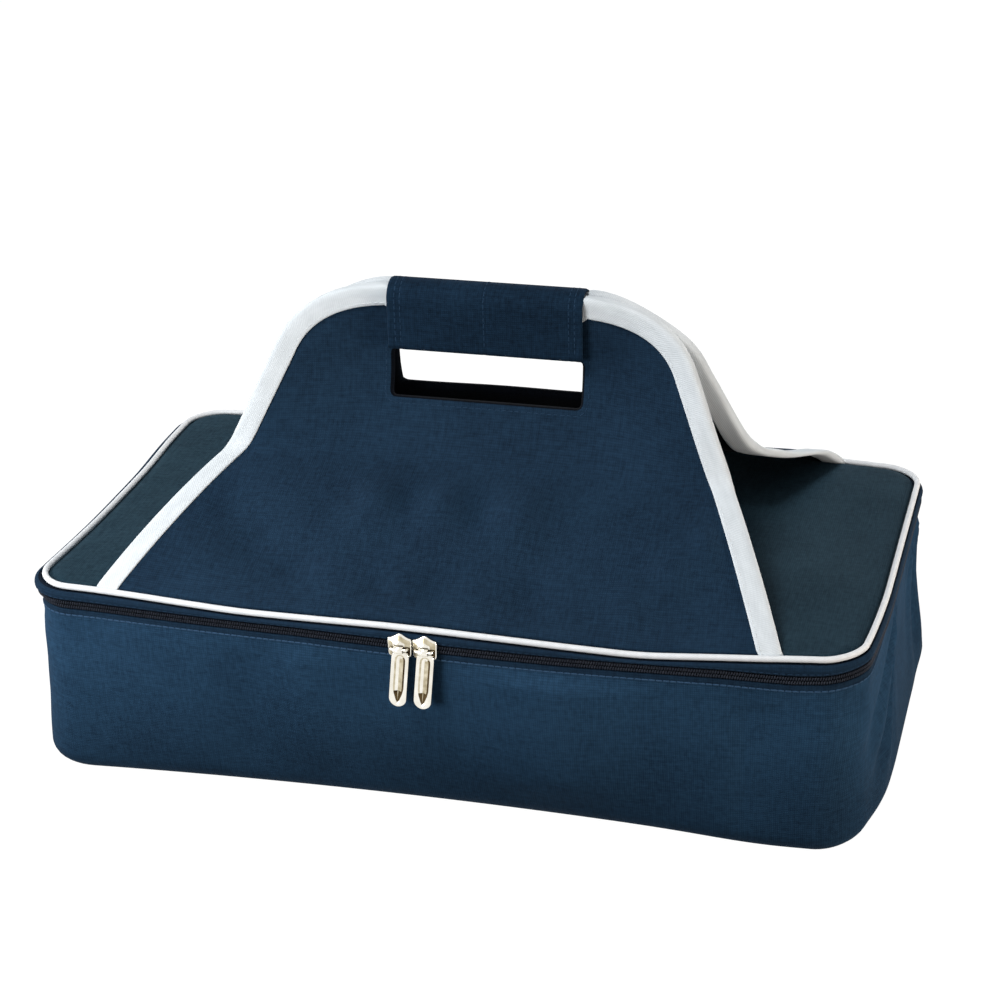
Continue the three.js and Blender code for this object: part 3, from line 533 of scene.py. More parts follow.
def eased(points):
    """Rows of the outer wall moved in and out, as cloth over foam lies, and kept in front of the zip tape."""
    x, y, z = points.T
    front = zone(points, WALL_FRONT)
    swell = BROAD_RIPPLE * np.sin(x / 41 + 0.8) * np.cos(z / 55)
    swell += FINE_RIPPLE * np.sin(x / 17 + y / 29 + 2.1)
    swell += sum(size * np.exp(-((x - at) / reach) ** 2) for at, reach, size in BULGES) * front
    folds = -CREASE_DEPTH * np.exp(-((x - CREASE_AT) / CREASE_WIDTH) ** 2) * front
    far, fan = np.hypot(y - FAN_Y, HEM - z), np.arctan2(FAN_Y - y, HEM - z)
    pucker = np.exp(-((fan - FAN_TURN) / FAN_SPREAD) ** 2) * smooth(*FAN_NEAR, far) * smooth(*FAN_FAR, far)
    folds += PUCKER_HEIGHT * smooth(*END_SHARES, x / HALF_WIDTH) * pucker * np.sin(PUCKERS * fan)
    for side_x, near_y, size in CORNER_FOLDS:
        at_end = smooth(*END_SHARES, side_x * x / HALF_WIDTH)
        fan = np.arctan2(y - near_y, SEAM - z)
        folds += size * at_end * np.exp(-((y - near_y) / FOLD_REACH) ** 2) * np.sin(FOLDS * fan + side_x)
    move = zone(points, *FREE_WALL) * (swell + folds)
    move = np.maximum(move, mix(DEEPEST, DEEPEST_AT_ZIP, zone(points, ZIP_BEHIND)))
    return points + outward(points) * move[:, None]


# %% Tub wall
FIT, WALL_INSIDE = 0.3, 6.3


def base_curve(radius, turns):
    """Depth and height of the rows round the rolled edge of the base."""
    return [(BASE_ROLL - radius * math.sin(a), BASE_ROLL - radius * math.cos(a)) for a in turns]


roll = np.linspace(0, math.pi / 2, 11)
outside = base_curve(BASE_ROLL, roll)
outside += [(0, z) for z in np.linspace(BASE_ROLL, HEM_EDGE - 0.9, 34)[1:]]
hem_fold = [(0.1, HEM_EDGE - 0.4), (0.5, HEM_EDGE), (0.9, HEM_EDGE - 0.4), (1.0, HEM_EDGE - 1.2),
            (1.0, WALL_TOP + 0.7), (1.4, WALL_TOP), (WALL_INSIDE - 0.2, WALL_TOP - 0.1)]
inside = [(WALL_INSIDE, z) for z in np.linspace(WALL_TOP - 0.4, BASE_ROLL, 12)]
inside += base_curve(BASE_ROLL - WALL_INSIDE, roll[::-2])
wall_rows = [eased(ring(z, d)) for d, z in outside]
wall_rows += [ring(z, d) for d, z in hem_fold + inside]
tub_wall = loft("tub_wall_cloth", wall_rows, navy_canvas, closed=True)
# The top strip of the wall and its hem fold take the darker canvas: painted shade under the lid's seam.
tub_wall.data.materials.append(shade_painted_hem_canvas)
first_hem_row, last_hem_row = len(outside) - 2, len(outside) + 4
for k in range(first_hem_row * len(rim), last_hem_row * len(rim)):
    tub_wall.data.polygons[k].material_index = 1
put(tub_wall, "tub", "navy_canvas", "tub_wall", "wall_foam")
print("tub wall:", len(tub_wall.data.vertices), "points")

# %% [markdown]
# ## Base, lining and inner seam binding
# Under the tub lies a flat canvas base, with a stiffener board and foam above it. The lining is one
# film sheet that is sealed at its corners; its top edge is covered by a rolled black tape. Boxes would do for
# the flat layers, but lofted from the same rings they fit the bowed walls all round.

# %% Flat layers
def slab(name, low, high, depth, crown, finish, soft=0.5, wrinkle=0.0):
    """A flat or crowned panel with a rounded edge, from its middle out and back underneath; only its top
    is wrinkled."""
    edge = ring(high, depth)
    top, under = [], []
    for s in np.append(np.linspace(0.02, 0.9, 16), (0.94, 0.97)):
        row = edge * (s, s, 0)
        ripple = np.sin(row[:, 0] / 19 + 1.3) * np.sin(row[:, 1] / 23 + 0.4) * smooth(0.2, 0.8, s)
        for z, wave, rows in ((high, wrinkle, top), (low, 0.0, under)):
            rows.append(row + UPWARD * (z + crown * (1 - s * s) + wave * ripple)[:, None])
    soft = min(soft, (high - low) / 2)
    turn = [ring(mix(high, low, t), depth + soft * (1 - math.sin(math.pi * t))) for t in np.linspace(0, 1, 7)]
    return loft(name, top + turn + under[::-1], finish, plan=True)


BASE_CLOTH, BASE_PAD = 1.0, 5.0
pad_low = BASE_CLOTH + FIT
base_cloth = slab("base_cloth", 0, BASE_CLOTH, BASE_ROLL + FIT, 0, dark_canvas)
put(base_cloth, "tub", "dark_canvas", "base_panel")
base_pad = slab("base_pad", pad_low, pad_low + BASE_PAD, BASE_ROLL + FIT, 0, white_foam)
put(base_pad, "tub", "foam", "base_board", "base_foam")
print("base:", base_cloth.name, base_pad.name)

# %% Lining film
FILM, FLOOR_SHARES = 0.6, (0.85, 0.6, 0.3, 0.02)
film_depth = WALL_INSIDE + FIT
film = [(film_depth, z) for z in np.append(WALL_TOP, np.linspace(85, BASE_ROLL, 10))]
film += base_curve(BASE_ROLL - film_depth, roll[::-2])
film_rows = [ring(z, d) for d, z in film]
floor_edge = film_rows[-1]
film_rows += [floor_edge * (s, s, 1) for s in FLOOR_SHARES]
inner_rows = [ring(z, d + FILM) for d, z in film[:-1]]
inner_rows += [floor_edge * (s, s, 1) + FILM * UPWARD for s in (0.98,) + FLOOR_SHARES]
tub_lining = loft("tub_lining_film", film_rows[::-1] + inner_rows, silver_film)
put(tub_lining, "tub", "lining_film", "tub_lining")
print("lining rows:", len(film_rows), "outside,", len(inner_rows), "inside")

# %% Upright strips
BAND_SIDES = 28


def band(name, low, high, near, far, finish, soft, bulge=0.0, part=None):
    """An upright strip round the bag, or a part of it, with rounded edges; bulge swells its outer face."""
    rows = []
    for t in circle(BAND_SIDES):
        share_z = squared(math.sin(t), soft) / 2 + 0.5
        share_d = 0.5 - squared(math.cos(t), soft) / 2
        depth = mix(near, far, share_d) - bulge * (1 - share_d) * math.sin(math.pi * share_z)
        row = ring(mix(low, high, share_z), depth)
        rows.append(row if part is None else row[part])
    if part is None:
        return loft(name, rows, finish, closed=True)
    return loft(name, np.transpose(rows, (1, 0, 2)), finish)


TUB_BINDING_TOP, TUB_BINDING_BACK = HEM - 0.5, 7.2
tub_binding = band("tub_seam_binding_tape", TAPE_LOW, TUB_BINDING_TOP, TRIM_DEPTH, TUB_BINDING_BACK,
                   black_tape, soft=0.5)
put(tub_binding, "tub", "black_tape", "tub_seam_binding")
print("binding:", tub_binding.name, len(tub_binding.data.vertices), "points")

# %% [markdown]
# ## Zip
# The zip runs round both ends and the front; the back is a plain cloth hinge. A coil zip is a nylon spring
# sewn along each tape: from outside it is a row of small rounded bars, about 1.3 mm apart, those of one tape
# set between those of the other. The spring could be swept as one helix, but only its front shows, so one bar
# is made and repeated along the outline.

# %% Zip tapes and hinge strip
TAPE_FACE, TAPE_BACK, TAPE_GAP = 1.3, 2.1, 1.0
BACK_FIRST = 4 * (CORNER_STEPS + 1) + 2 * (END_STEPS - 1) + LONG_STEPS - 1
zip_part = np.arange(CORNER_STEPS // 4, BACK_FIRST - CORNER_STEPS // 4)
hinge_part = np.arange(BACK_FIRST - CORNER_STEPS // 4 + 1, len(rim) + CORNER_STEPS // 4 - 1) % len(rim)
for half, low, high, body in (("lower", TAPE_LOW, PARTING - TAPE_GAP, "tub"),
                              ("upper", PARTING + TAPE_GAP, BAND_HIGH, "lid")):
    tape = band(f"zip_tape_{half}_weave", low, high, TAPE_FACE, TAPE_BACK, black_tape, soft=0.4,
                part=zip_part)
    put(tape, body, "black_tape", f"zip_tape_{half}")
hinge_strip = band("hinge_strip_cloth", TAPE_LOW, BAND_HIGH, TAPE_FACE, TAPE_BACK, dark_canvas, soft=0.4,
                   part=hinge_part)
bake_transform(hinge_strip)
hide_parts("hinge_strip")
print("points along the zip:", len(zip_part), "and the hinge:", len(hinge_part))


# %% Rows of small shapes
def spaced(path, step, first=0.0):
    """Points every step along a path, with its direction at each."""
    lengths = distances(path)
    at = np.arange(first, lengths[-1], step)
    before, after = (at_distances(path, lengths, at + shift) for shift in (-0.3, 0.3))
    return at_distances(path, lengths, at), unit(after - before)


def repeat(name, shape, faces, points, frames, finish):
    """Copies of one small shape, at points, each turned to its own three directions."""
    copies = points[:, None] + np.einsum("kc,nci->nki", shape, frames)
    all_faces = [[v + n * len(shape) for v in face] for n in range(len(points)) for face in faces]
    corners = np.concatenate([shape[face][:, :2] for face in faces])
    return sew(name, copies.reshape(-1, 3), all_faces, np.tile(corners, (len(points), 1)), finish)


def pill(length, width, thickness, sides=8):
    """A bar with rounded ends, lying along its first direction."""
    rings = [(-0.5, 0.35), (-0.42, 0.8), (-0.25, 1), (0.25, 1), (0.42, 0.8), (0.5, 0.35)]
    shape = np.array([(at * length, size * width / 2 * math.cos(t), size * thickness / 2 * math.sin(t))
                      for at, size in rings for t in circle(sides)])
    faces = []
    for k in range(len(rings) - 1):
        for j in range(sides):
            a, b = k * sides + j, k * sides + (j + 1) % sides
            faces.append([a, b, b + sides, a + sides])
    faces += [list(range(sides))[::-1], list(range((len(rings) - 1) * sides, len(rings) * sides))]
    return shape, faces


# %% Zip coil
COIL_PITCH, COIL_DEPTH, BAR_SLANT = 1.3, 0.3, 0.25
BAR_LENGTH, BAR_WIDTH, BAR_THICKNESS = 1.85, 1.0, 1.4
LOWER_COIL, UPPER_COIL = PARTING - 2.0, PARTING + 0.15
bar, bar_faces = pill(BAR_LENGTH, BAR_WIDTH, BAR_THICKNESS)
for half, low, first, body in (("lower", LOWER_COIL, 0.0, "tub"),
                               ("upper", UPPER_COIL, COIL_PITCH / 2, "lid")):
    path = ring(low + BAR_LENGTH / 2, COIL_DEPTH)[zip_part]
    points, run = spaced(path, COIL_PITCH, first)
    rise = np.tile(UPWARD, (len(points), 1))
    frames = np.stack([unit(rise + BAR_SLANT * run), run, np.cross(run, rise)], 1)
    coil = repeat(f"zip_coil_{half}_turns", bar, bar_faces, points, frames, nylon_coil)
    put(coil, body, "zip_coil", f"zip_coil_{half}")
    print(coil.name, len(points), "turns")

# %% [markdown]
# ## Lid
# The lid is a foam panel with a slight crown. Its edge meets a narrow canvas band that carries the upper
# zip tape, and the white piping is caught between them. The band bulges softly, because the zip pulls it in
# at its lower edge and the seam at its upper one. The slab and strip helpers of the tub make all but the
# piping, which is a round row of points swept along the seam.

# %% Lid
LID_UNDER, LID_CROWN = 106.6, 3.0
LID_FILM = (105.7, 106.3)
BAND_BULGE, BAND_CLOTH = 0.9, 1.0
LID_BINDING_TOP, LID_BINDING_BACK = BAND_HIGH - 0.2, 4.4
PIPING_RADIUS, PIPING_SIDES = 1.6, 16
# The lid's top takes the canvas with painted sheen and shade.
lid_top = slab("lid_top_cloth", LID_UNDER, LID_TOP, LID_DEPTH, LID_CROWN, sheen_painted_lid_canvas, soft=2.0, wrinkle=1.0)
put(lid_top, "lid", "navy_canvas", "lid_panel", "lid_foam")
lid_lining = slab("lid_lining_film", *LID_FILM, LID_DEPTH + 0.2, LID_CROWN, silver_film)
put(lid_lining, "lid", "lining_film", "lid_lining")
# The band takes the darker canvas too: painted shade under the piping.
lid_band = band("lid_band_cloth", BAND_EDGE, BAND_HIGH, 0, BAND_CLOTH, shade_painted_hem_canvas, soft=0.45,
                bulge=BAND_BULGE)
put(lid_band, "lid", "navy_canvas", "lid_band")
lid_binding = band("lid_seam_binding_tape", BAND_LOW, LID_BINDING_TOP, TRIM_DEPTH, LID_BINDING_BACK,
                   black_tape, soft=0.5)
put(lid_binding, "lid", "black_tape", "lid_seam_binding")
core = ring(SEAM, TRIM_DEPTH)
piping_rows = [core + PIPING_RADIUS * (math.cos(t) * outward(core) + math.sin(t) * UPWARD)
               for t in circle(PIPING_SIDES)]
lid_piping = loft("lid_piping_cord", piping_rows, white_piping, closed=True)
put(lid_piping, "lid", "white_trim", "lid_piping")
print("lid:", lid_top.name, lid_band.name, lid_piping.name)

# %% [markdown]
# ## Handle panels
# Each panel is one sheet of padded canvas. From the lid seam it slopes up to a soft fold, then stands
# up and draws in to the grip bar, while its sides stay further out, so it is dished like a scoop. It could
# be a subdivided cage, but the binding and the stitches have to lie on the same surface, so that is a
# function. A point on it is given by its distance across and its distance up the cloth, q, which is 0 at
# the fold line.

# %% Surface of a handle panel
APRON_LENGTH, APRON_HALF, KNEE_HALF, SHOULDER_HALF = 95.0, 170.0, 135.0, 112.0
KNEE_HEIGHT, KNEE_BACK, HANDLE_RISE = 162.5, 36.5, 84.5
BAR_FACE, GRIP_HALF, SLOT_LOW, SLOT_HIGH = 6.6, 52.5, 25.5, 51.0
APRON_FOOT, APRON_INSET, APRON_ARCH, KNEE_EASE, REAR_EASE = 114.9, 5.7, 5.0, 7.0, 18.0
TUCK_OUT, TUCK_DOWN = 0.25, 0.6
DISH_POWER, SIDE_DRAW, BAR_EDGE = 2.3, 0.97, GRIP_HALF + 2
APRON_THICKNESS, HANDLE_THICKNESS = 2.1, 4.6
SHOULDER_PULL = (100, 81.5)


def half_at(q):
    """Half the panel's width on its sloping and standing parts, below the shoulders."""
    return np.where(q < 0, mix(APRON_HALF, KNEE_HALF, 1 + q / APRON_LENGTH),
                    mix(KNEE_HALF, SHOULDER_HALF, q / SLOT_HIGH))


def apron(x, q):
    """The sloping part, arched a little and tucked down behind the piping at its foot."""
    v = 1 + q / APRON_LENGTH
    inside_v = np.clip(v, 0, 1)
    seam_x = x * APRON_HALF / half_at(np.minimum(q, 0))
    seam_y = (APRON_INSET - HALF_DEPTH) * (1 + EDGE_BOW / HALF_DEPTH * (1 - (seam_x / HALF_WIDTH) ** 2))
    tuck = np.clip(-v, 0, None) * APRON_LENGTH
    y = mix(seam_y, -KNEE_BACK, inside_v) - TUCK_OUT * tuck
    z = mix(APRON_FOOT, KNEE_HEIGHT, inside_v) + 4 * APRON_ARCH * inside_v * (1 - inside_v) - TUCK_DOWN * tuck
    return np.stack([x, y, z], -1)


def upright(x, q):
    """The standing part, drawn in to the bar at its middle and more evenly at its sides."""
    v = q / HANDLE_RISE
    middle = np.clip(1 - q / SLOT_HIGH, 0, None) ** DISH_POWER
    reach = mix(middle, 1 - SIDE_DRAW * v, smooth(BAR_EDGE, KNEE_HALF - 10, np.abs(x)))
    return np.stack([x, -mix(BAR_FACE, KNEE_BACK, reach), KNEE_HEIGHT + q], -1)


def panel(x, q, ease):
    """The front panel's outer face, with the fold eased into a round."""
    x, q = np.broadcast_arrays(np.asarray(x, float), np.asarray(q, float))
    t = np.clip((q + ease) / (2 * ease), 0, 1)[..., None]
    near, far = apron(x, np.full_like(q, -ease)), upright(x, np.full_like(q, ease))
    fold = np.stack([x, np.full_like(x, -KNEE_BACK), np.full_like(x, KNEE_HEIGHT)], -1)
    eased_fold = (1 - t) ** 2 * near + 2 * t * (1 - t) * fold + t ** 2 * far
    face = np.where(q[..., None] < 0, apron(x, np.minimum(q, 0)), upright(x, np.maximum(q, 0)))
    return np.where(np.abs(q)[..., None] < ease, eased_fold, face)


def thickness(q):
    """The apron is two layers of canvas; the handle also has a core."""
    return mix(APRON_THICKNESS, HANDLE_THICKNESS, smooth(-10, 10, q))


def shoulder(t):
    """The rounded corner of the panel's edge, from the side to the grip: half width and height."""
    a, b, c = (1 - t) ** 2, 2 * t * (1 - t), t ** 2
    half = a * SHOULDER_HALF + b * SHOULDER_PULL[0] + c * BAR_EDGE
    return half, a * SLOT_HIGH + b * SHOULDER_PULL[1] + c * HANDLE_RISE


for label, q in (("fold line", 0.0), ("slot edge", SLOT_LOW)):
    print(label, "at", panel(0.0, q, KNEE_EASE).round(1))

# %% [markdown]
# ### How each panel lies
# The two panels are cut alike and face each other, but they don't lie alike. The front apron is wider at its
# foot and follows the lid's seam. The edges of the rear panel droop at the fold, and its apron sags, as cloth
# that leans back does. One function turns the front panel's points into either panel's.

# %% How each panel lies
LEFT_FOOT, RIGHT_FOOT, FOOT_FROM = 10.0, 3.0, 60.0
PANEL_TOP = 247.0
REAR_NARROW, REAR_FOOT = 0.5, 1.0
REAR_LOWER, LOWER_HEIGHTS = 11.0, (121, 152)
REAR_SLUMP, SLUMP_HEIGHTS = 6.0, (170, 235)
REAR_SAG, SAG_STARTS, SAG_ENDS = 5.0, (APRON_FOOT, 124), (156, 132)
# Where the droop starts and is full across the panel: below the slot, and beside it.
BESIDE_SLOT = (165, KNEE_HEIGHT + SLOT_LOW)
DROOP_FROM, DROOP_FULL = (10, GRIP_HALF + 5), (75, SHOULDER_HALF - 10)
NORMAL_STEP = 0.2


def drawn(points, side):
    """Points of the front panel as one panel lies; side is -1 in front, 1 behind."""
    x, y, z = np.moveaxis(points * (1, -side, 1), -1, 0)
    foot = 1 - np.clip((z - APRON_FOOT) / (KNEE_HEIGHT - APRON_FOOT), 0, 1)
    wider = foot * smooth(FOOT_FROM, APRON_HALF, np.abs(x))
    if side < 0:
        return np.stack([x + np.where(x < 0, -LEFT_FOOT, RIGHT_FOOT) * wider, y, z + seam_rise(x) * foot], -1)
    narrow = np.interp(z, (KNEE_HEIGHT, KNEE_HEIGHT + SLOT_HIGH, PANEL_TOP), (0, REAR_NARROW, 0))
    slump = smooth(*SLUMP_HEIGHTS, z)
    lower = REAR_LOWER * smooth(*LOWER_HEIGHTS, z) * (1 - slump) + REAR_SLUMP * slump
    beside = smooth(*BESIDE_SLOT, z)
    outer = smooth(mix(*DROOP_FROM, beside), mix(*DROOP_FULL, beside), np.abs(x))
    sag = REAR_SAG * (1 - (x / APRON_HALF) ** 2) * smooth(*SAG_STARTS, z) * smooth(*SAG_ENDS, z)
    across = x - np.sign(x) * narrow * outer + REAR_FOOT * (x > 0) * wider
    return np.stack([across, y, z - lower * outer - sag], -1)


def panel_at(x, q, depth, side):
    """Points at a depth under one panel's outer face."""
    ease = KNEE_EASE if side < 0 else REAR_EASE
    across = panel(x + NORMAL_STEP, q, ease) - panel(x - NORMAL_STEP, q, ease)
    upward = panel(x, q + NORMAL_STEP, ease) - panel(x, q - NORMAL_STEP, ease)
    inward = -unit(np.cross(across, upward))
    return drawn(panel(x, q, ease) + inward * np.asarray(depth, float)[..., None], side)


def fold_with_handle(piece, side, slot, *nodes):
    """The piece stays where it was drawn and stands for the CAD nodes named; side is -1 in front, 1 behind,
    and is not used.
    """
    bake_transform(piece)
    return stand_for(piece, nodes)


PANELS = ((-1, "front"), (1, "rear"))
for side, which in PANELS:
    print(which, "edge at the fold:", panel_at(np.array([KNEE_HALF]), 0.0, [0.0], side).round(1))

# %% [markdown]
# ### Panel cloth
# The sheet is a grid of rows up the cloth, with the faces of the hand slot left out and its corners rounded.
# Front and back faces are joined round every edge by a row that bulges a little, as a turned and
# topstitched edge does. A boolean could cut the slot, but it would break the rows that the weave follows.
# Soft padding puffs up between its seams, so the front apron also has puffs, dimples and a drawn streak.

# %% Rows and columns of the sheet
SLOT_RADIUS, SLOT_STEPS, INNER, SIDE_STEPS = 3.5, 14, 26, 30
SEAM_TUCK, EDGE_INSET = 4.0, 0.7
low_rows = np.append(np.linspace(-APRON_LENGTH - SEAM_TUCK, -KNEE_EASE, 30),
                     np.linspace(-KNEE_EASE, 0, 9)[1:])
high_rows = np.append(np.linspace(0, SLOT_LOW, SLOT_STEPS + 1)[1:],
                      np.linspace(SLOT_LOW, SLOT_HIGH, SLOT_STEPS + 1)[1:])
top_halves, top_rows = shoulder(np.linspace(0, 1, 22)[1:])
row_q = np.concatenate([low_rows, high_rows, top_rows])
row_half = np.append(half_at(np.append(low_rows, high_rows)), top_halves) - EDGE_INSET
slot_rows = (len(low_rows) + SLOT_STEPS - 1, len(low_rows) + 2 * SLOT_STEPS - 1)
half_columns = np.append(np.linspace(0, GRIP_HALF, INNER + 1),
                         np.linspace(GRIP_HALF, KNEE_HALF, SIDE_STEPS + 1)[1:])
columns = np.append(-half_columns[:0:-1], half_columns)


def round_corner(x, q, row, column, side, up_way):
    """Grid points near one corner of the slot moved onto its rounding."""
    corner = np.array([x[row, column], q[row, column]])
    centre = corner + np.array([-side, up_way]) * SLOT_RADIUS
    for k in range(-3, 4):
        at = (row + up_way * max(k, 0), column - side * max(-k, 0))
        away = np.abs(np.array([x[at], q[at]]) - corner).max()
        if away < SLOT_RADIUS:
            turn = math.pi / 4 * (1 + math.copysign(away / SLOT_RADIUS, k))
            x[at] = centre[0] + side * SLOT_RADIUS * math.sin(turn)
            q[at] = centre[1] - up_way * SLOT_RADIUS * math.cos(turn)


def panel_grid():
    """Across and up places of the sheet's points, with the slot's corners rounded."""
    x = np.empty((len(row_q), len(columns)))
    size = np.abs(columns)
    for k, (q, half) in enumerate(zip(row_q, row_half)):
        inner = GRIP_HALF * (half / KNEE_HALF if q < 0 else 1)
        outer = mix(inner, half, (size - GRIP_HALF) / (KNEE_HALF - GRIP_HALF))
        x[k] = np.sign(columns) * np.where(size <= GRIP_HALF, size * inner / GRIP_HALF, outer)
    q = np.tile(row_q[:, None], (1, len(columns)))
    for row, up_way in zip(slot_rows, (1, -1)):
        for side in (-1, 1):
            round_corner(x, q, row, len(columns) // 2 + side * INNER, side, up_way)
    return x, q


print("rows up the cloth:", len(row_q), "points across:", len(columns))

# %% Puffs and dimples
# Place across and up, height, and reach both ways: three puffs, three dimples below them, a hollow band at
# the left, a raised streak at the right and a dimple beside the slot.
PUFFS = ((-44, -36, 6.5, 14, 18), (-8, -34, 6.5, 13, 18), (32, -33, 6.5, 14, 18),
         (-34, -76, -4.0, 13, 12), (-2, -78, -4.5, 13, 12), (46, -76, -4.0, 14, 12),
         (-120, -45, -4.5, 14, 16), (-100, -60, -5.5, 14, 16), (-80, -72, -4.5, 14, 14),
         (97, -78, 3.5, 10, 14), (114, -60, 4.5, 10, 14), (130, -42, 3.5, 10, 14),
         (64, 52, -2.0, 10, 10))
WIDE_RIPPLE, CLOSE_RIPPLE = 0.35, 0.2
FLAT_EDGE, FLAT_BELOW = 8.0, -80.0


def loose(x, q, side):
    """How far the cloth stands off its plain form: soft ripples, puffs and dimples, none at the edges."""
    height = WIDE_RIPPLE * np.sin(x / 31 + 0.5) * np.sin(q / 27 + 1.0)
    height = height + CLOSE_RIPPLE * np.sin(x / 13 + q / 17)
    for at_x, at_q, rise, reach_x, reach_q in PUFFS if side < 0 else ():
        height = height + rise * np.exp(-((x - at_x) / reach_x) ** 2 - ((q - at_q) / reach_q) ** 2)
    inside_edge = 1 - smooth(0.9, 1.0, np.abs(x) / (np.interp(q, row_q, row_half) - FLAT_EDGE))
    return height * inside_edge * smooth(-APRON_LENGTH, FLAT_BELOW, q)


highest = max(PUFFS, key=lambda puff: puff[2])
print("puffs and dimples:", len(PUFFS), "highest, mm:", highest[2])

# %% Panel cloth
BACK_FOLLOWS, EDGE_BULGE = 0.8, 0.35


def sheet_faces(rows, wide):
    """Quads of the grid, without those in the slot."""
    faces = []
    for i in range(rows - 1):
        for j in range(wide - 1):
            inside_slot = slot_rows[0] <= i < slot_rows[1] and abs(j + 0.5 - wide // 2) < INNER
            if not inside_slot:
                faces.append((i * wide + j, i * wide + j + 1, (i + 1) * wide + j + 1, (i + 1) * wide + j))
    return faces


def open_edges(faces):
    """Edges that only one face has, each with that face."""
    edges = {}
    for face in faces:
        for a, b in zip(face, face[1:] + face[:1]):
            edges[(a, b)] = face
    return [(a, b, face) for (a, b), face in edges.items() if (b, a) not in edges]


def panel_cloth(name, side):
    """The padded sheet of one panel: canvas painted darker as shade in front, and lining painted near-black
    as shade behind and round the edges.
    """
    x, q = panel_grid()
    front = panel_at(x, q, -loose(x, q, side), side).reshape(-1, 3)
    back = panel_at(x, q, thickness(q) - BACK_FOLLOWS * loose(x, q, side), side).reshape(-1, 3)
    faces = sheet_faces(*x.shape)
    rim_edges = open_edges(faces)
    away = {}
    for a, b, face in rim_edges:
        for v in (a, b):
            away.setdefault(v, []).append(front[v] - front[list(face)].mean(0))
    count = len(front)
    bulge_at, bulges = {}, []
    for v, ways in away.items():
        through = unit(back[v] - front[v])
        way = sum(ways)
        way = unit(way - through * np.dot(way, through))
        bulge_at[v] = 2 * count + len(bulges)
        bulges.append((front[v] + back[v]) / 2 + way * EDGE_BULGE * np.linalg.norm(back[v] - front[v]))
    points = np.concatenate([front, back, bulges])
    flat = np.stack([x, q], -1).reshape(-1, 2)
    places = np.concatenate([flat, flat, flat[list(away)]])
    all_faces = faces + [tuple(v + count for v in face[::-1]) for face in faces]
    for a, b, _ in rim_edges:
        all_faces += [(b, a, bulge_at[a], bulge_at[b]), (bulge_at[b], bulge_at[a], a + count, b + count)]
    if side > 0:
        all_faces = [face[::-1] for face in all_faces]
    corners = places[np.concatenate(all_faces)]
    piece = sew(name, points, all_faces, corners, shade_painted_panel_canvas, shade_painted_lining)
    # The back faces and the edges take the lining painted near-black as shade.
    shades = np.zeros(len(all_faces), np.int32)
    shades[len(faces):] = 1
    piece.data.polygons.foreach_set("material_index", shades)
    return piece


for side, which in PANELS:
    cloth = panel_cloth(f"{which}_handle_panel", side)
    fold_with_handle(cloth, side, "navy_canvas", f"{which}_apron_face", f"{which}_apron_lining",
                     f"{which}_handle_face", f"{which}_handle_core", f"{which}_handle_lining")
    print(cloth.name, len(cloth.data.vertices), "points")

# %% [markdown]
# ### White binding
# A 10 mm twill tape is folded over the panel's edge and sewn through. A bevelled curve would twist at the
# fold, so it is swept as a soft U-shaped section along the edge: up the sloping part, round the fold, over
# the shoulder and across the bar, where the grip squeezes it down.

# %% Edge of the panel
SQUEEZE, SQUEEZED_FROM = 4.0, (52, 46)
low_q = np.append(np.linspace(-APRON_LENGTH - SEAM_TUCK, -KNEE_EASE, 26),
                  np.linspace(-KNEE_EASE, KNEE_EASE, 15)[1:])
side_q = np.append(low_q, np.linspace(KNEE_EASE, SLOT_HIGH, 12)[1:])
shoulder_half, shoulder_q = shoulder(np.linspace(0, 1, 30)[1:])
bar_x = np.linspace(BAR_EDGE, 0, 14)[1:]
half_path = np.stack([np.concatenate([half_at(side_q), shoulder_half, bar_x]),
                      np.concatenate([side_q, shoulder_q, np.full(len(bar_x), HANDLE_RISE)])], 1)
half_path[:, 1] -= SQUEEZE * smooth(*SQUEEZED_FROM, half_path[:, 0])
edge_path = np.concatenate([half_path, half_path[-2::-1] * (-1, 1)])
edge_run = unit(np.gradient(edge_path, axis=0))
edge_inward = np.stack([-edge_run[:, 1], edge_run[:, 0]], 1)
print("points along one panel's edge:", len(edge_path))

# %% White binding
BINDING_WIDTH = 10.0


def binding_section(thick):
    """Reach over the panel and depth through it, round the folded tape."""
    outer = [(BINDING_WIDTH, -0.5), (9.8, -0.95), (9.2, -1.1), (7, -1.15), (4.5, -1.2), (2, -1.25),
             (0.4, -1.15), (-0.6, -0.75), (-1.15, -0.1), (-1.35, 0.7)]
    inner = [(-0.5, 0.7), (-0.3, 0.1), (0.4, -0.15), (5, -0.15), (BINDING_WIDTH, -0.15)]
    over = outer + [(reach, thick - depth) for reach, depth in outer[::-1]]
    return np.array(over + [(reach, thick - depth) for reach, depth in inner[::-1]] + inner)


def binding_rows(side):
    """Sections of the tape along one panel's edge."""
    rows = []
    for place_on, inward in zip(edge_path, edge_inward):
        section = binding_section(float(thickness(place_on[1])))
        at = place_on + inward * section[:, :1]
        rows.append(panel_at(at[:, 0], at[:, 1], section[:, 1], side))
    return rows


for side, which in PANELS:
    tape = loft(f"{which}_handle_binding_tape", binding_rows(side), white_tape)
    fold_with_handle(tape, side, "white_trim", f"{which}_apron_binding_left", f"{which}_apron_binding_right",
                     f"{which}_handle_binding")
    print(tape.name, len(tape.data.vertices), "points")

# %% [markdown]
# ## Grip
# A padded canvas wrap is sewn to the rear bar, comes over the top and closes on the front bar with hook
# and loop tape. Its section is a tall arch, a little fuller in the middle, and it is pinched where the
# stitching goes through. A bent box with a bevel would be too even, so the arch is lofted from end to end.

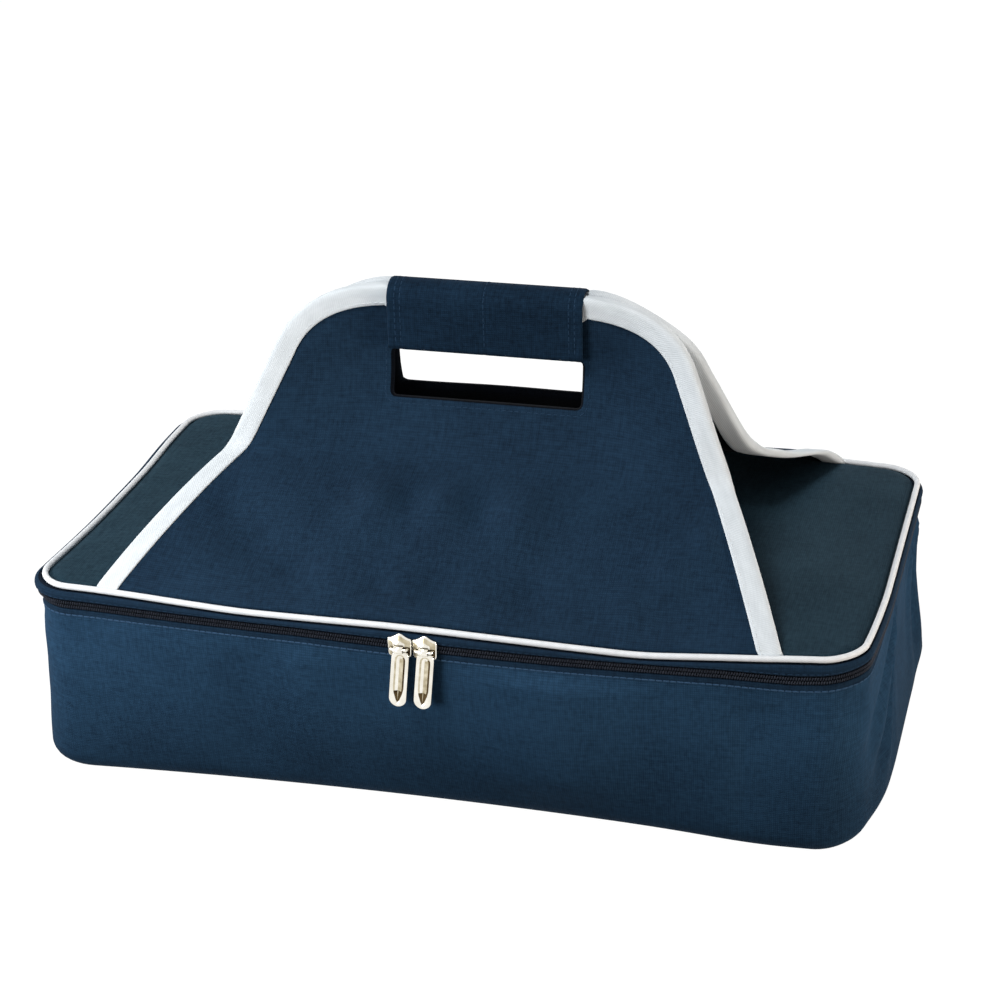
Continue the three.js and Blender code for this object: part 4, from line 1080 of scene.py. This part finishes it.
# %% Grip wrap
GRIP_LOW, GRIP_TOP, GRIP_PAD, GRIP_ROUND = 214.5, 250.6, 1.6, 10.0
GRIP_FRONT, GRIP_BACK, GRIP_END = -10.9, 9.9, 52.4
LEG_STEPS, TOP_STEPS, GRIP_ROWS = 11, 24, 107
GRIP_FULL, FULL_HEIGHT = 0.5, 36
PINCH, PINCH_REACH = 0.35, 0.9
END_ROUND, END_PAD = 1.2, 0.4
STITCH_X = (-48.2, -45.2, 0.0, 45.2, 48.2)


def grip_arch(inset, x):
    """The wrap's section from its back lower edge over the top to its front lower edge."""
    centre = (GRIP_FRONT + GRIP_BACK) / 2
    wide, high = (GRIP_BACK - GRIP_FRONT) / 2 - inset, GRIP_ROUND - inset
    legs = np.linspace(GRIP_LOW, GRIP_TOP - GRIP_ROUND, LEG_STEPS + 1)[:-1]
    turn = np.linspace(0, math.pi, TOP_STEPS + 1)
    back_leg, front_leg = np.full(LEG_STEPS, centre + wide), np.full(LEG_STEPS, centre - wide)
    y = np.concatenate([back_leg, centre + wide * np.cos(turn), front_leg])
    z = np.concatenate([legs, GRIP_TOP - GRIP_ROUND + high * np.sin(turn), legs[::-1]])
    full = np.sin(np.pi * np.clip((z - GRIP_LOW) / FULL_HEIGHT, 0, 1)) * (1 - (x / GRIP_END) ** 2)
    pinch = sum(PINCH * math.exp(-((x - s) / PINCH_REACH) ** 2) for s in STITCH_X)
    on_leg = (inset == 0) * (np.abs(y - centre) > 0.5 * wide)
    y = y + np.sign(y - centre) * (GRIP_FULL * full - pinch) * on_leg
    return np.stack([np.full(len(y), x), y, z], 1)


def peel_with_flap(piece, slot, *nodes):
    """The piece stays where it was drawn and stands for the CAD nodes named."""
    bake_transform(piece)
    return stand_for(piece, nodes)


grip_rows = []
for x in np.linspace(-GRIP_END, GRIP_END, GRIP_ROWS):
    padding = mix(END_PAD, 1, smooth(0, END_ROUND, GRIP_END - abs(x)))
    outer, inner = grip_arch(0.0, x), grip_arch(GRIP_PAD, x)
    middle = (outer + inner) / 2
    grip_rows.append(np.concatenate([mix(middle, outer, padding), mix(middle, inner, padding)[::-1]]))
grip_wrap = loft("grip_wrap_cloth", grip_rows, dark_canvas)
peel_with_flap(grip_wrap, "dark_canvas", "grip_backing", "grip_flap")
print("grip:", grip_wrap.name, len(grip_wrap.data.vertices), "points")

# %% Hook and loop tape
CLOSING_HALF, CLOSING_AT, CLOSING_HIGH = 47.5, 226.5, 9.0
CLOSING_SIDES, CLOSING_ROWS, CLOSING_SOFT = 24, 40, 0.4
CLOSING_END, END_THIN = 1.5, 0.35
PILE_AT, HOOKS_AT = (-6.9, -7.8), (-8.1, -9.0)


def closing_tape(name, near, far, finish):
    """A strip of hook or loop tape with rounded edges, upright behind the wrap."""
    wide, tall = (squared(wave(circle(CLOSING_SIDES)), CLOSING_SOFT) for wave in (np.cos, np.sin))
    rows = []
    for x in np.linspace(-CLOSING_HALF, CLOSING_HALF, CLOSING_ROWS):
        end = 1 - END_THIN * (1 - float(smooth(0, CLOSING_END, CLOSING_HALF - abs(x))))
        y = mix(near, far, 0.5) + (far - near) / 2 * end * wide
        z = CLOSING_AT + CLOSING_HIGH * (0.9 + 0.1 * end) * tall
        rows.append(np.stack([np.full(CLOSING_SIDES, x), y, z], 1))
    return loft(name, rows, finish)


pile = closing_tape("grip_loop_tape_pile", *PILE_AT, loop_tape)
put(pile, "front_handle", "black_tape", "grip_loop_tape")
hooks = closing_tape("grip_hook_tape_hooks", *HOOKS_AT, hook_tape)
put(hooks, "flap", "black_tape", "grip_hook_tape")
print("closing:", pile.name, hooks.name)

# %% [markdown]
# ## Stitching
# Lockstitch shows as a row of short thread pills half sunk in the cloth, about 3 mm long with a gap of a
# millimetre, or closer along the hem. They could be painted into the material, but as small pieces they catch
# the light along every edge. Each row follows a path, lies on its surface and moves with its cloth.

# %% Stitches round the tub and the lid
STITCH, STITCH_STEP, STITCH_SIDES = 2.6, 3.5, 6
THREAD, HEM_THREAD = (0.55, 0.4), (1.0, 0.5)
HEM_STITCH = STITCH_STEP - 0.2
HEM_MARGIN, BAND_MARGIN = 3.4, 1.2
stitch, stitch_faces = pill(STITCH, *THREAD, sides=STITCH_SIDES)
hem_stitch, _ = pill(HEM_STITCH, *HEM_THREAD, sides=STITCH_SIDES)


def stitches(name, path, facing, finish, shape=stitch):
    """A row of stitches along a path; facing is the way out of the cloth at each of its points."""
    points, run = spaced(path, STITCH_STEP, STITCH)
    lengths = distances(path)
    out = unit(at_distances(facing, lengths, np.arange(STITCH, lengths[-1], STITCH_STEP)))
    frames = np.stack([run, np.cross(out, run), out], 1)
    return repeat(name, shape, stitch_faces, points, frames, finish)


for name, height, depth, body, finish, shape in (
        ("tub_hem_stitching", HEM_EDGE - HEM_MARGIN, -0.1, "tub", pale_thread, hem_stitch),
        ("lid_band_stitching", BAND_EDGE + BAND_MARGIN, -0.6, "lid", navy_thread, stitch)):
    turn = ring(height, depth)
    path, facing = (np.append(row, row[:1], 0) for row in (turn, outward(turn)))
    put(stitches(name, path, facing, finish, shape), body, "navy_canvas")
    print(name, "along", round(float(distances(path)[-1])), "mm")

# %% Stitches on the panels
SLOT_MARGIN, BINDING_MARGIN = 2.6, 8.4
SLOT_SUNK, BINDING_SUNK = -0.05, -1.05
straight, stitch_turn = GRIP_HALF - SLOT_RADIUS, SLOT_RADIUS + SLOT_MARGIN
arcs = []
for centre_x, start in ((-straight, 180), (straight, 270)):
    turn = np.radians(np.linspace(start, start + 90, 7))
    arcs.append(np.stack([centre_x + stitch_turn * np.cos(turn),
                          SLOT_LOW + SLOT_RADIUS + stitch_turn * np.sin(turn)], 1))
bottom = [(x, SLOT_LOW - SLOT_MARGIN) for x in np.linspace(-straight, straight, 30)[1:-1]]
rise_q = np.linspace(SLOT_LOW + SLOT_RADIUS, SLOT_HIGH + 1, 8)
left_rise, right_rise = ([(side * (GRIP_HALF + SLOT_MARGIN), q) for q in rise_q] for side in (-1, 1))
slot_path = np.concatenate([left_rise[::-1], arcs[0], bottom, arcs[1], right_rise])


def panel_row(path, depth, side):
    """A path on a panel's face and the way out of it."""
    x, q = path.T
    on, under = (panel_at(x, q, d - loose(x, q, side), side) for d in (depth, depth + 1))
    return on, unit(on - under)


for side, which in PANELS:
    on, out = panel_row(slot_path, SLOT_SUNK, side)
    put(stitches(f"{which}_slot_stitching", on, out, navy_thread), f"{which}_handle", "navy_canvas")
    on, out = panel_row(edge_path + edge_inward * BINDING_MARGIN, BINDING_SUNK, side)
    row = stitches(f"{which}_binding_stitching", on, out, white_thread)
    fold_with_handle(row, side, "white_trim")
    print(row.name, len(row.data.vertices), "points")

# %% Stitches across the grip
grip_threads = []
for k, x in enumerate(STITCH_X):
    arch = grip_arch(0.0, x)[1:-1]
    run = np.gradient(arch, axis=0)
    out = unit(np.stack([np.zeros(len(run)), run[:, 2], -run[:, 1]], 1))
    row = stitches(f"grip_stitching_{k + 1}", arch, out, navy_thread)
    peel_with_flap(row, "dark_canvas")
    grip_threads.append(row.name)
print("stitch rows on the grip:", grip_threads)

# %% [markdown]
# ## Sliders and pulls
# Both are zinc castings with every edge rounded by polishing. They could be boxes with bevels, but a casting
# swells and hollows as it goes, so each is a pile of outlines in the plane of the zip, every one at its own
# distance in front of the band. Some faces in the hollows take a dimmer or a dark brown nickel: painted
# reflections.

# %% Casting helpers
BOW_RADIUS, BOW_CENTRE = 1962.04, 1832.54
# Finishes of casting faces: polished nickel, then nickel with a painted dim reflection, then with a painted
# dark reflection.
POLISHED, PAINTED_DIM, PAINTED_DARK = 0, 1, 2


def resample(path, count):
    """The closed path as count evenly spaced points."""
    path = np.asarray(path, float)
    path = np.append(path, path[:1], 0)
    lengths = distances(path)
    return at_distances(path, lengths, np.linspace(0, lengths[-1], count + 1)[:-1])


def arc(cx, cz, radius, start, end, count=8):
    turn = np.radians(np.linspace(start, end, count))
    return [(cx + radius * math.cos(t), cz + radius * math.sin(t)) for t in turn]


def mirrored(points):
    """The other side of an outline, in the order that carries on round it."""
    return [(-x, z) for x, z in points[::-1]]


def upright_rows(layers):
    """Rows from outlines in the XZ plane, each at its own distance in front of the band."""
    return [np.stack([shape[:, 0], np.full(len(shape), -out), shape[:, 1]], 1) for shape, out in layers]


def tube(path, radius, sides=14):
    """Rows of a round rod along a level path."""
    path = np.asarray(path, float)
    run = unit(np.gradient(path, axis=0))
    return [[p + radius * (math.cos(t) * np.cross(r, UPWARD) + math.sin(t) * UPWARD) for t in circle(sides)]
            for p, r in zip(path, run)]


def casting(name, parts, hollow, turn, middle, height):
    """Lofted parts joined into one piece, turned about the middle of the bow and set in place; hollow is the
    first part's sunk row, its points in a row, and the finish of each face in that row and the next."""
    made = [loft(f"{name}_part_{k}", rows, nickel) for k, rows in enumerate(parts)]
    piece = made[0]
    piece.data.materials.append(nickel_painted_dim_reflection)
    piece.data.materials.append(nickel_painted_dark_reflection)
    sunk_row, count, finish_at = hollow
    for row in (sunk_row, sunk_row + 1):
        for column in range(count):
            piece.data.polygons[row * count + column].material_index = finish_at(row, column)
    # The cap over the first part's last row takes the painted dim reflection.
    piece.data.polygons[-1].material_index = PAINTED_DIM
    with bpy.context.temp_override(active_object=piece, selected_editable_objects=made):
        bpy.ops.object.join()
    piece.name = piece.data.name = name
    move = Matrix.Translation((0, BOW_CENTRE * MM, height * MM)) @ Matrix.Rotation(turn, 4, "Z")
    piece.data.transform(move @ Matrix.Translation((0, middle * MM, 0)))
    return piece


# %% [markdown]
# ### Sliders
# A slider is a shield-shaped plate with a low dome, a lip under the lower coil and a hoop, the bridge, across
# its front. The zip closes between plate and lip. Its back is open at the top, so that the lid can lift away.

# %% Sliders
PLATE_BACK, PLATE_FRONT, BRIDGE_OUT, BRIDGE_RISE = 1.2, 2.4, 4.7, 1.5
SHIELD_POINTS, SHIELD_HOLLOW, SHIELD_PAINTED_DARK = 64, 5, range(14, 26)
crown = [(6.4, 5.2), (5.9, 6.6), (4.6, 6.8), (2.6, 7.8), (0.9, 9.0)]
shield = resample([(-6, -2.2)] + arc(-4.4, -1.9, 1.6, 190, 270) + arc(4.4, -1.9, 1.6, 270, 350)
                  + [(6.1, -2.0)] + crown + mirrored(crown), SHIELD_POINTS)
plate_rows = upright_rows([
    (shield * 0.5, PLATE_BACK), (shield * 0.95, PLATE_BACK), (shield, PLATE_BACK + 0.25),
    (shield, PLATE_FRONT - 0.5), (shield * 0.97, PLATE_FRONT - 0.2), (shield * 0.9, PLATE_FRONT),
    (shield * 0.75 + (0, 0.7), PLATE_FRONT + 0.3), (shield * 0.5 + (0, 1.6), PLATE_FRONT + 1.3),
    (shield * 0.05 + (0, 3.2), PLATE_FRONT + 1.5)])

LIP_HALF, LIP_LOW, LIP_HIGH, LIP_POINTS = 5.0, -3.9, -3.0, 40
lip_shape = resample([(-LIP_HALF, LIP_LOW), (LIP_HALF, LIP_LOW), (LIP_HALF, LIP_HIGH), (-LIP_HALF, LIP_HIGH)],
                     LIP_POINTS)
lip_middle = np.array([0, (LIP_LOW + LIP_HIGH) / 2])
lip_rows = upright_rows([(mix(lip_middle, lip_shape, s), out) for s, out in
                         ((0.3, 0.6), (0.9, 0.6), (1, 0.8), (1, 1.6), (0.9, 1.9), (0.3, 1.9))])

HOOP_HALF, HOOP_TURN, HOOP_RADIUS = 4.3, 1.1, 0.85
hoop_arcs = [arc(side * (HOOP_HALF - HOOP_TURN), HOOP_TURN - BRIDGE_OUT, HOOP_TURN, start, start + 90)
             for side, start in ((-1, 180), (1, 270))]
hoop_foot = 0.5 - PLATE_FRONT
hoop = [(-HOOP_HALF, hoop_foot)] + hoop_arcs[0] + hoop_arcs[1] + [(HOOP_HALF, hoop_foot)]
hoop_rows = tube([(x, y, BRIDGE_RISE) for x, y in hoop], HOOP_RADIUS)


def shield_finish(row, column):
    """Painted dim reflection round the dome of a slider, painted dark reflection at its lower right."""
    return PAINTED_DARK if column in SHIELD_PAINTED_DARK else PAINTED_DIM


print("slider plate:", np.ptp(shield, axis=0).round(1), "mm")

# %% [markdown]
# ### Pulls
# A pull hangs from the hoop by a rolled eye: a slim tab with a raised rim round a sunk field that runs out
# to a point. The field is left bare. On the bag both tabs hang a little aslant.

# %% Pulls
TAB_HALF, TAB_TIP, TAB_POINTS = 4.6, -27.8, 120
FIELD_ROW, TIP_POINTS, FIRST_PAINTED_DARK = 10, 14, 5
TAB_SLANT, TAB_ASIDE = math.radians(6), 1.4
EYE_RADIUS, EYE_SIDES = 1.9, 24
tab_side = [(2.6, -0.6), (3.9, -1.6), (4.5, -3.2), (TAB_HALF, -4.4)]
tab_end = arc(0, TAB_TIP, TAB_HALF, 0, -180, 18)
tab = resample([(0, -0.6)] + tab_side + tab_end + mirrored(tab_side), TAB_POINTS)
field_side = [(1.6, -3.0), (2.6, -4.6), (2.75, -6), (2.75, -22), (2.2, -25), (0.9, -28.8)]
field = resample([(0, -2.6)] + field_side + [(0, -30.2)] + mirrored(field_side), TAB_POINTS)
spine = field * (0.04, 0.9) + (0, -1.6)
tab_rows = upright_rows(
    [(mix(tab, spine, share), out) for share, out in ((0.9, -0.75), (0.12, -0.75), (0.03, -0.6))]
    + [(mix(tab, field, share), out) for share, out in (
        (0, -0.3), (0, 0.3), (0.1, 0.62), (0.3, 0.78), (0.45, 0.82), (0.65, 0.75), (0.88, 0.5), (1, 0.3))]
    + [(mix(field, spine, share), out) for share, out in ((0.36, 0.24), (0.95, 0.22))])
lean = np.array([[math.cos(TAB_SLANT), 0, -math.sin(TAB_SLANT)], [0, 1, 0],
                 [math.sin(TAB_SLANT), 0, math.cos(TAB_SLANT)]])
tab_rows = [row @ lean + (TAB_ASIDE, 0, 0) for row in tab_rows]
eye_rows = [[(x, EYE_RADIUS * size * math.cos(t), EYE_RADIUS * size * math.sin(t)) for t in circle(EYE_SIDES)]
            for x, size in ((-2.5, 0.62), (-2.5, 0.9), (-2.3, 1), (2.3, 1), (2.5, 0.9), (2.5, 0.62))]


def tab_finish(row, column):
    """Painted dark reflection in the point and at the right edge of a tab's sunk field, painted dim
    reflection at its left edge and on the right half of its floor."""
    if abs(column + 0.5 - TAB_POINTS / 2) < TIP_POINTS:
        return PAINTED_DARK
    at_edge, on_right = row == FIELD_ROW, FIRST_PAINTED_DARK <= column < TAB_POINTS / 2
    return (POLISHED, PAINTED_DIM, PAINTED_DARK)[at_edge + on_right]


print("pull tab:", np.ptp(tab, axis=0).round(1), "mm")

# %% Set the castings on the zip
SLIDERS_AT = (("left", -14.2), ("right", -1.2))
for which, along_front in SLIDERS_AT:
    turn = math.asin(along_front / BOW_RADIUS)
    slider = casting(f"slider_{which}_casting", [plate_rows, lip_rows, hoop_rows],
                     (SHIELD_HOLLOW, SHIELD_POINTS, shield_finish), turn, -BOW_RADIUS, PARTING)
    put(slider, f"slider_{which}", "nickel", f"slider_{which}")
    pull = casting(f"pull_{which}_casting", [tab_rows, eye_rows], (FIELD_ROW, TAB_POINTS, tab_finish), turn,
                   -BOW_RADIUS - BRIDGE_OUT, PARTING + BRIDGE_RISE)
    put(pull, f"pull_{which}", "nickel", f"pull_{which}")
    print(slider.name, len(slider.data.vertices), pull.name, len(pull.data.vertices))

# %% [markdown]
# ## Floor, background and light
# The bag stands on a plain white floor in soft light: one lamp in front and above, lower ones at the left, at
# the right and in front, and one behind. An image of a studio could light it, but lamps can be moved one by
# one. To the camera and to mirrors the surroundings are white; the light that they give the cloth is much
# weaker, so that the folds keep their shade.

# %% Floor
FLOOR_HALF = 20
finish, tree = blank("white_paper_floor")
path_of_light = add(tree, "ShaderNodeLightPath").outputs
paper = add(tree, "ShaderNodeBsdfDiffuse", {"Color": linear("#505050")})
glow = add(tree, "ShaderNodeEmission", {"Color": (1, 1, 1, 1), "Strength": 1.0})
unlit = add(tree, "ShaderNodeEmission", {"Strength": 0.0})
shown = add(tree, "ShaderNodeMath", {0: path_of_light["Is Camera Ray"], 1: path_of_light["Is Glossy Ray"]},
            operation="MAXIMUM")
seen = add(tree, "ShaderNodeMixShader", {0: shown.outputs[0], 1: unlit.outputs[0], 2: glow.outputs[0]})
both = add(tree, "ShaderNodeAddShader", {0: paper.outputs[0], 1: seen.outputs[0]})
add(tree, "ShaderNodeOutputMaterial", {"Surface": both.outputs[0]})
floor_mesh = bpy.data.meshes.new("floor")
floor_corners = [(FLOOR_HALF * x, FLOOR_HALF * y, 0) for x, y in ((-1, -1), (1, -1), (1, 1), (-1, 1))]
floor_mesh.from_pydata(floor_corners, [], [(0, 1, 2, 3)])
floor_mesh.materials.append(finish)
floor = bpy.data.objects.new("floor", floor_mesh)
bpy.context.scene.collection.objects.link(floor)
print("floor:", 2 * FLOOR_HALF, "m across")

# %% Surroundings
world = bpy.data.worlds.new("white_surroundings")
bpy.context.scene.world = world
world.use_nodes = True
tree = world.node_tree
tree.nodes.clear()
path_of_light = add(tree, "ShaderNodeLightPath").outputs
mirror = add(tree, "ShaderNodeMath", {
    0: path_of_light["Is Glossy Ray"], 1: path_of_light["Is Transmission Ray"]}, operation="MAXIMUM")
seen = add(tree, "ShaderNodeMath", {0: path_of_light["Is Camera Ray"], 1: mirror.outputs[0]},
           operation="MAXIMUM")
dim = add(tree, "ShaderNodeBackground", {"Color": (1, 1, 1, 1), "Strength": 0.15})
white = add(tree, "ShaderNodeBackground", {"Color": (1, 1, 1, 1), "Strength": 1.0})
pick = add(tree, "ShaderNodeMixShader", {0: seen.outputs[0], 1: dim.outputs[0], 2: white.outputs[0]})
add(tree, "ShaderNodeOutputWorld", {"Surface": pick.outputs[0]})
print("world:", world.name)

# %% Lamps
# Place in metres, watts, size in metres and colour.
LAMPS = (("top_softbox", (-0.5, -0.7, 1.9), 22, 0.5, "#ffffff"),
         ("left_softbox", (-1.4, -0.1, 0.62), 7, 0.3, "#ffffff"),
         ("front_softbox", (-0.46, -0.64, 0.22), 3.2, 0.4, "#ffffff"),
         ("right_softbox", (1.5, -0.35, 0.13), 17, 0.4, "#fff3e6"),
         ("back_softbox", (0.3, 1.5, 0.7), 7, 0.8, "#ffffff"))
AIM = Vector((0, 0, 0.1))
for name, at, watts, size, tint in LAMPS:
    lamp = bpy.data.lights.new(name, "AREA")
    lamp.energy = watts
    lamp.color = linear(tint)[:3]
    lamp.size = size
    holder = bpy.data.objects.new(name, lamp)
    holder.location = at
    holder.rotation_euler = (AIM - Vector(at)).to_track_quat("-Z", "Y").to_euler()
    bpy.context.scene.collection.objects.link(holder)
bpy.context.scene.view_settings.view_transform = "Standard"
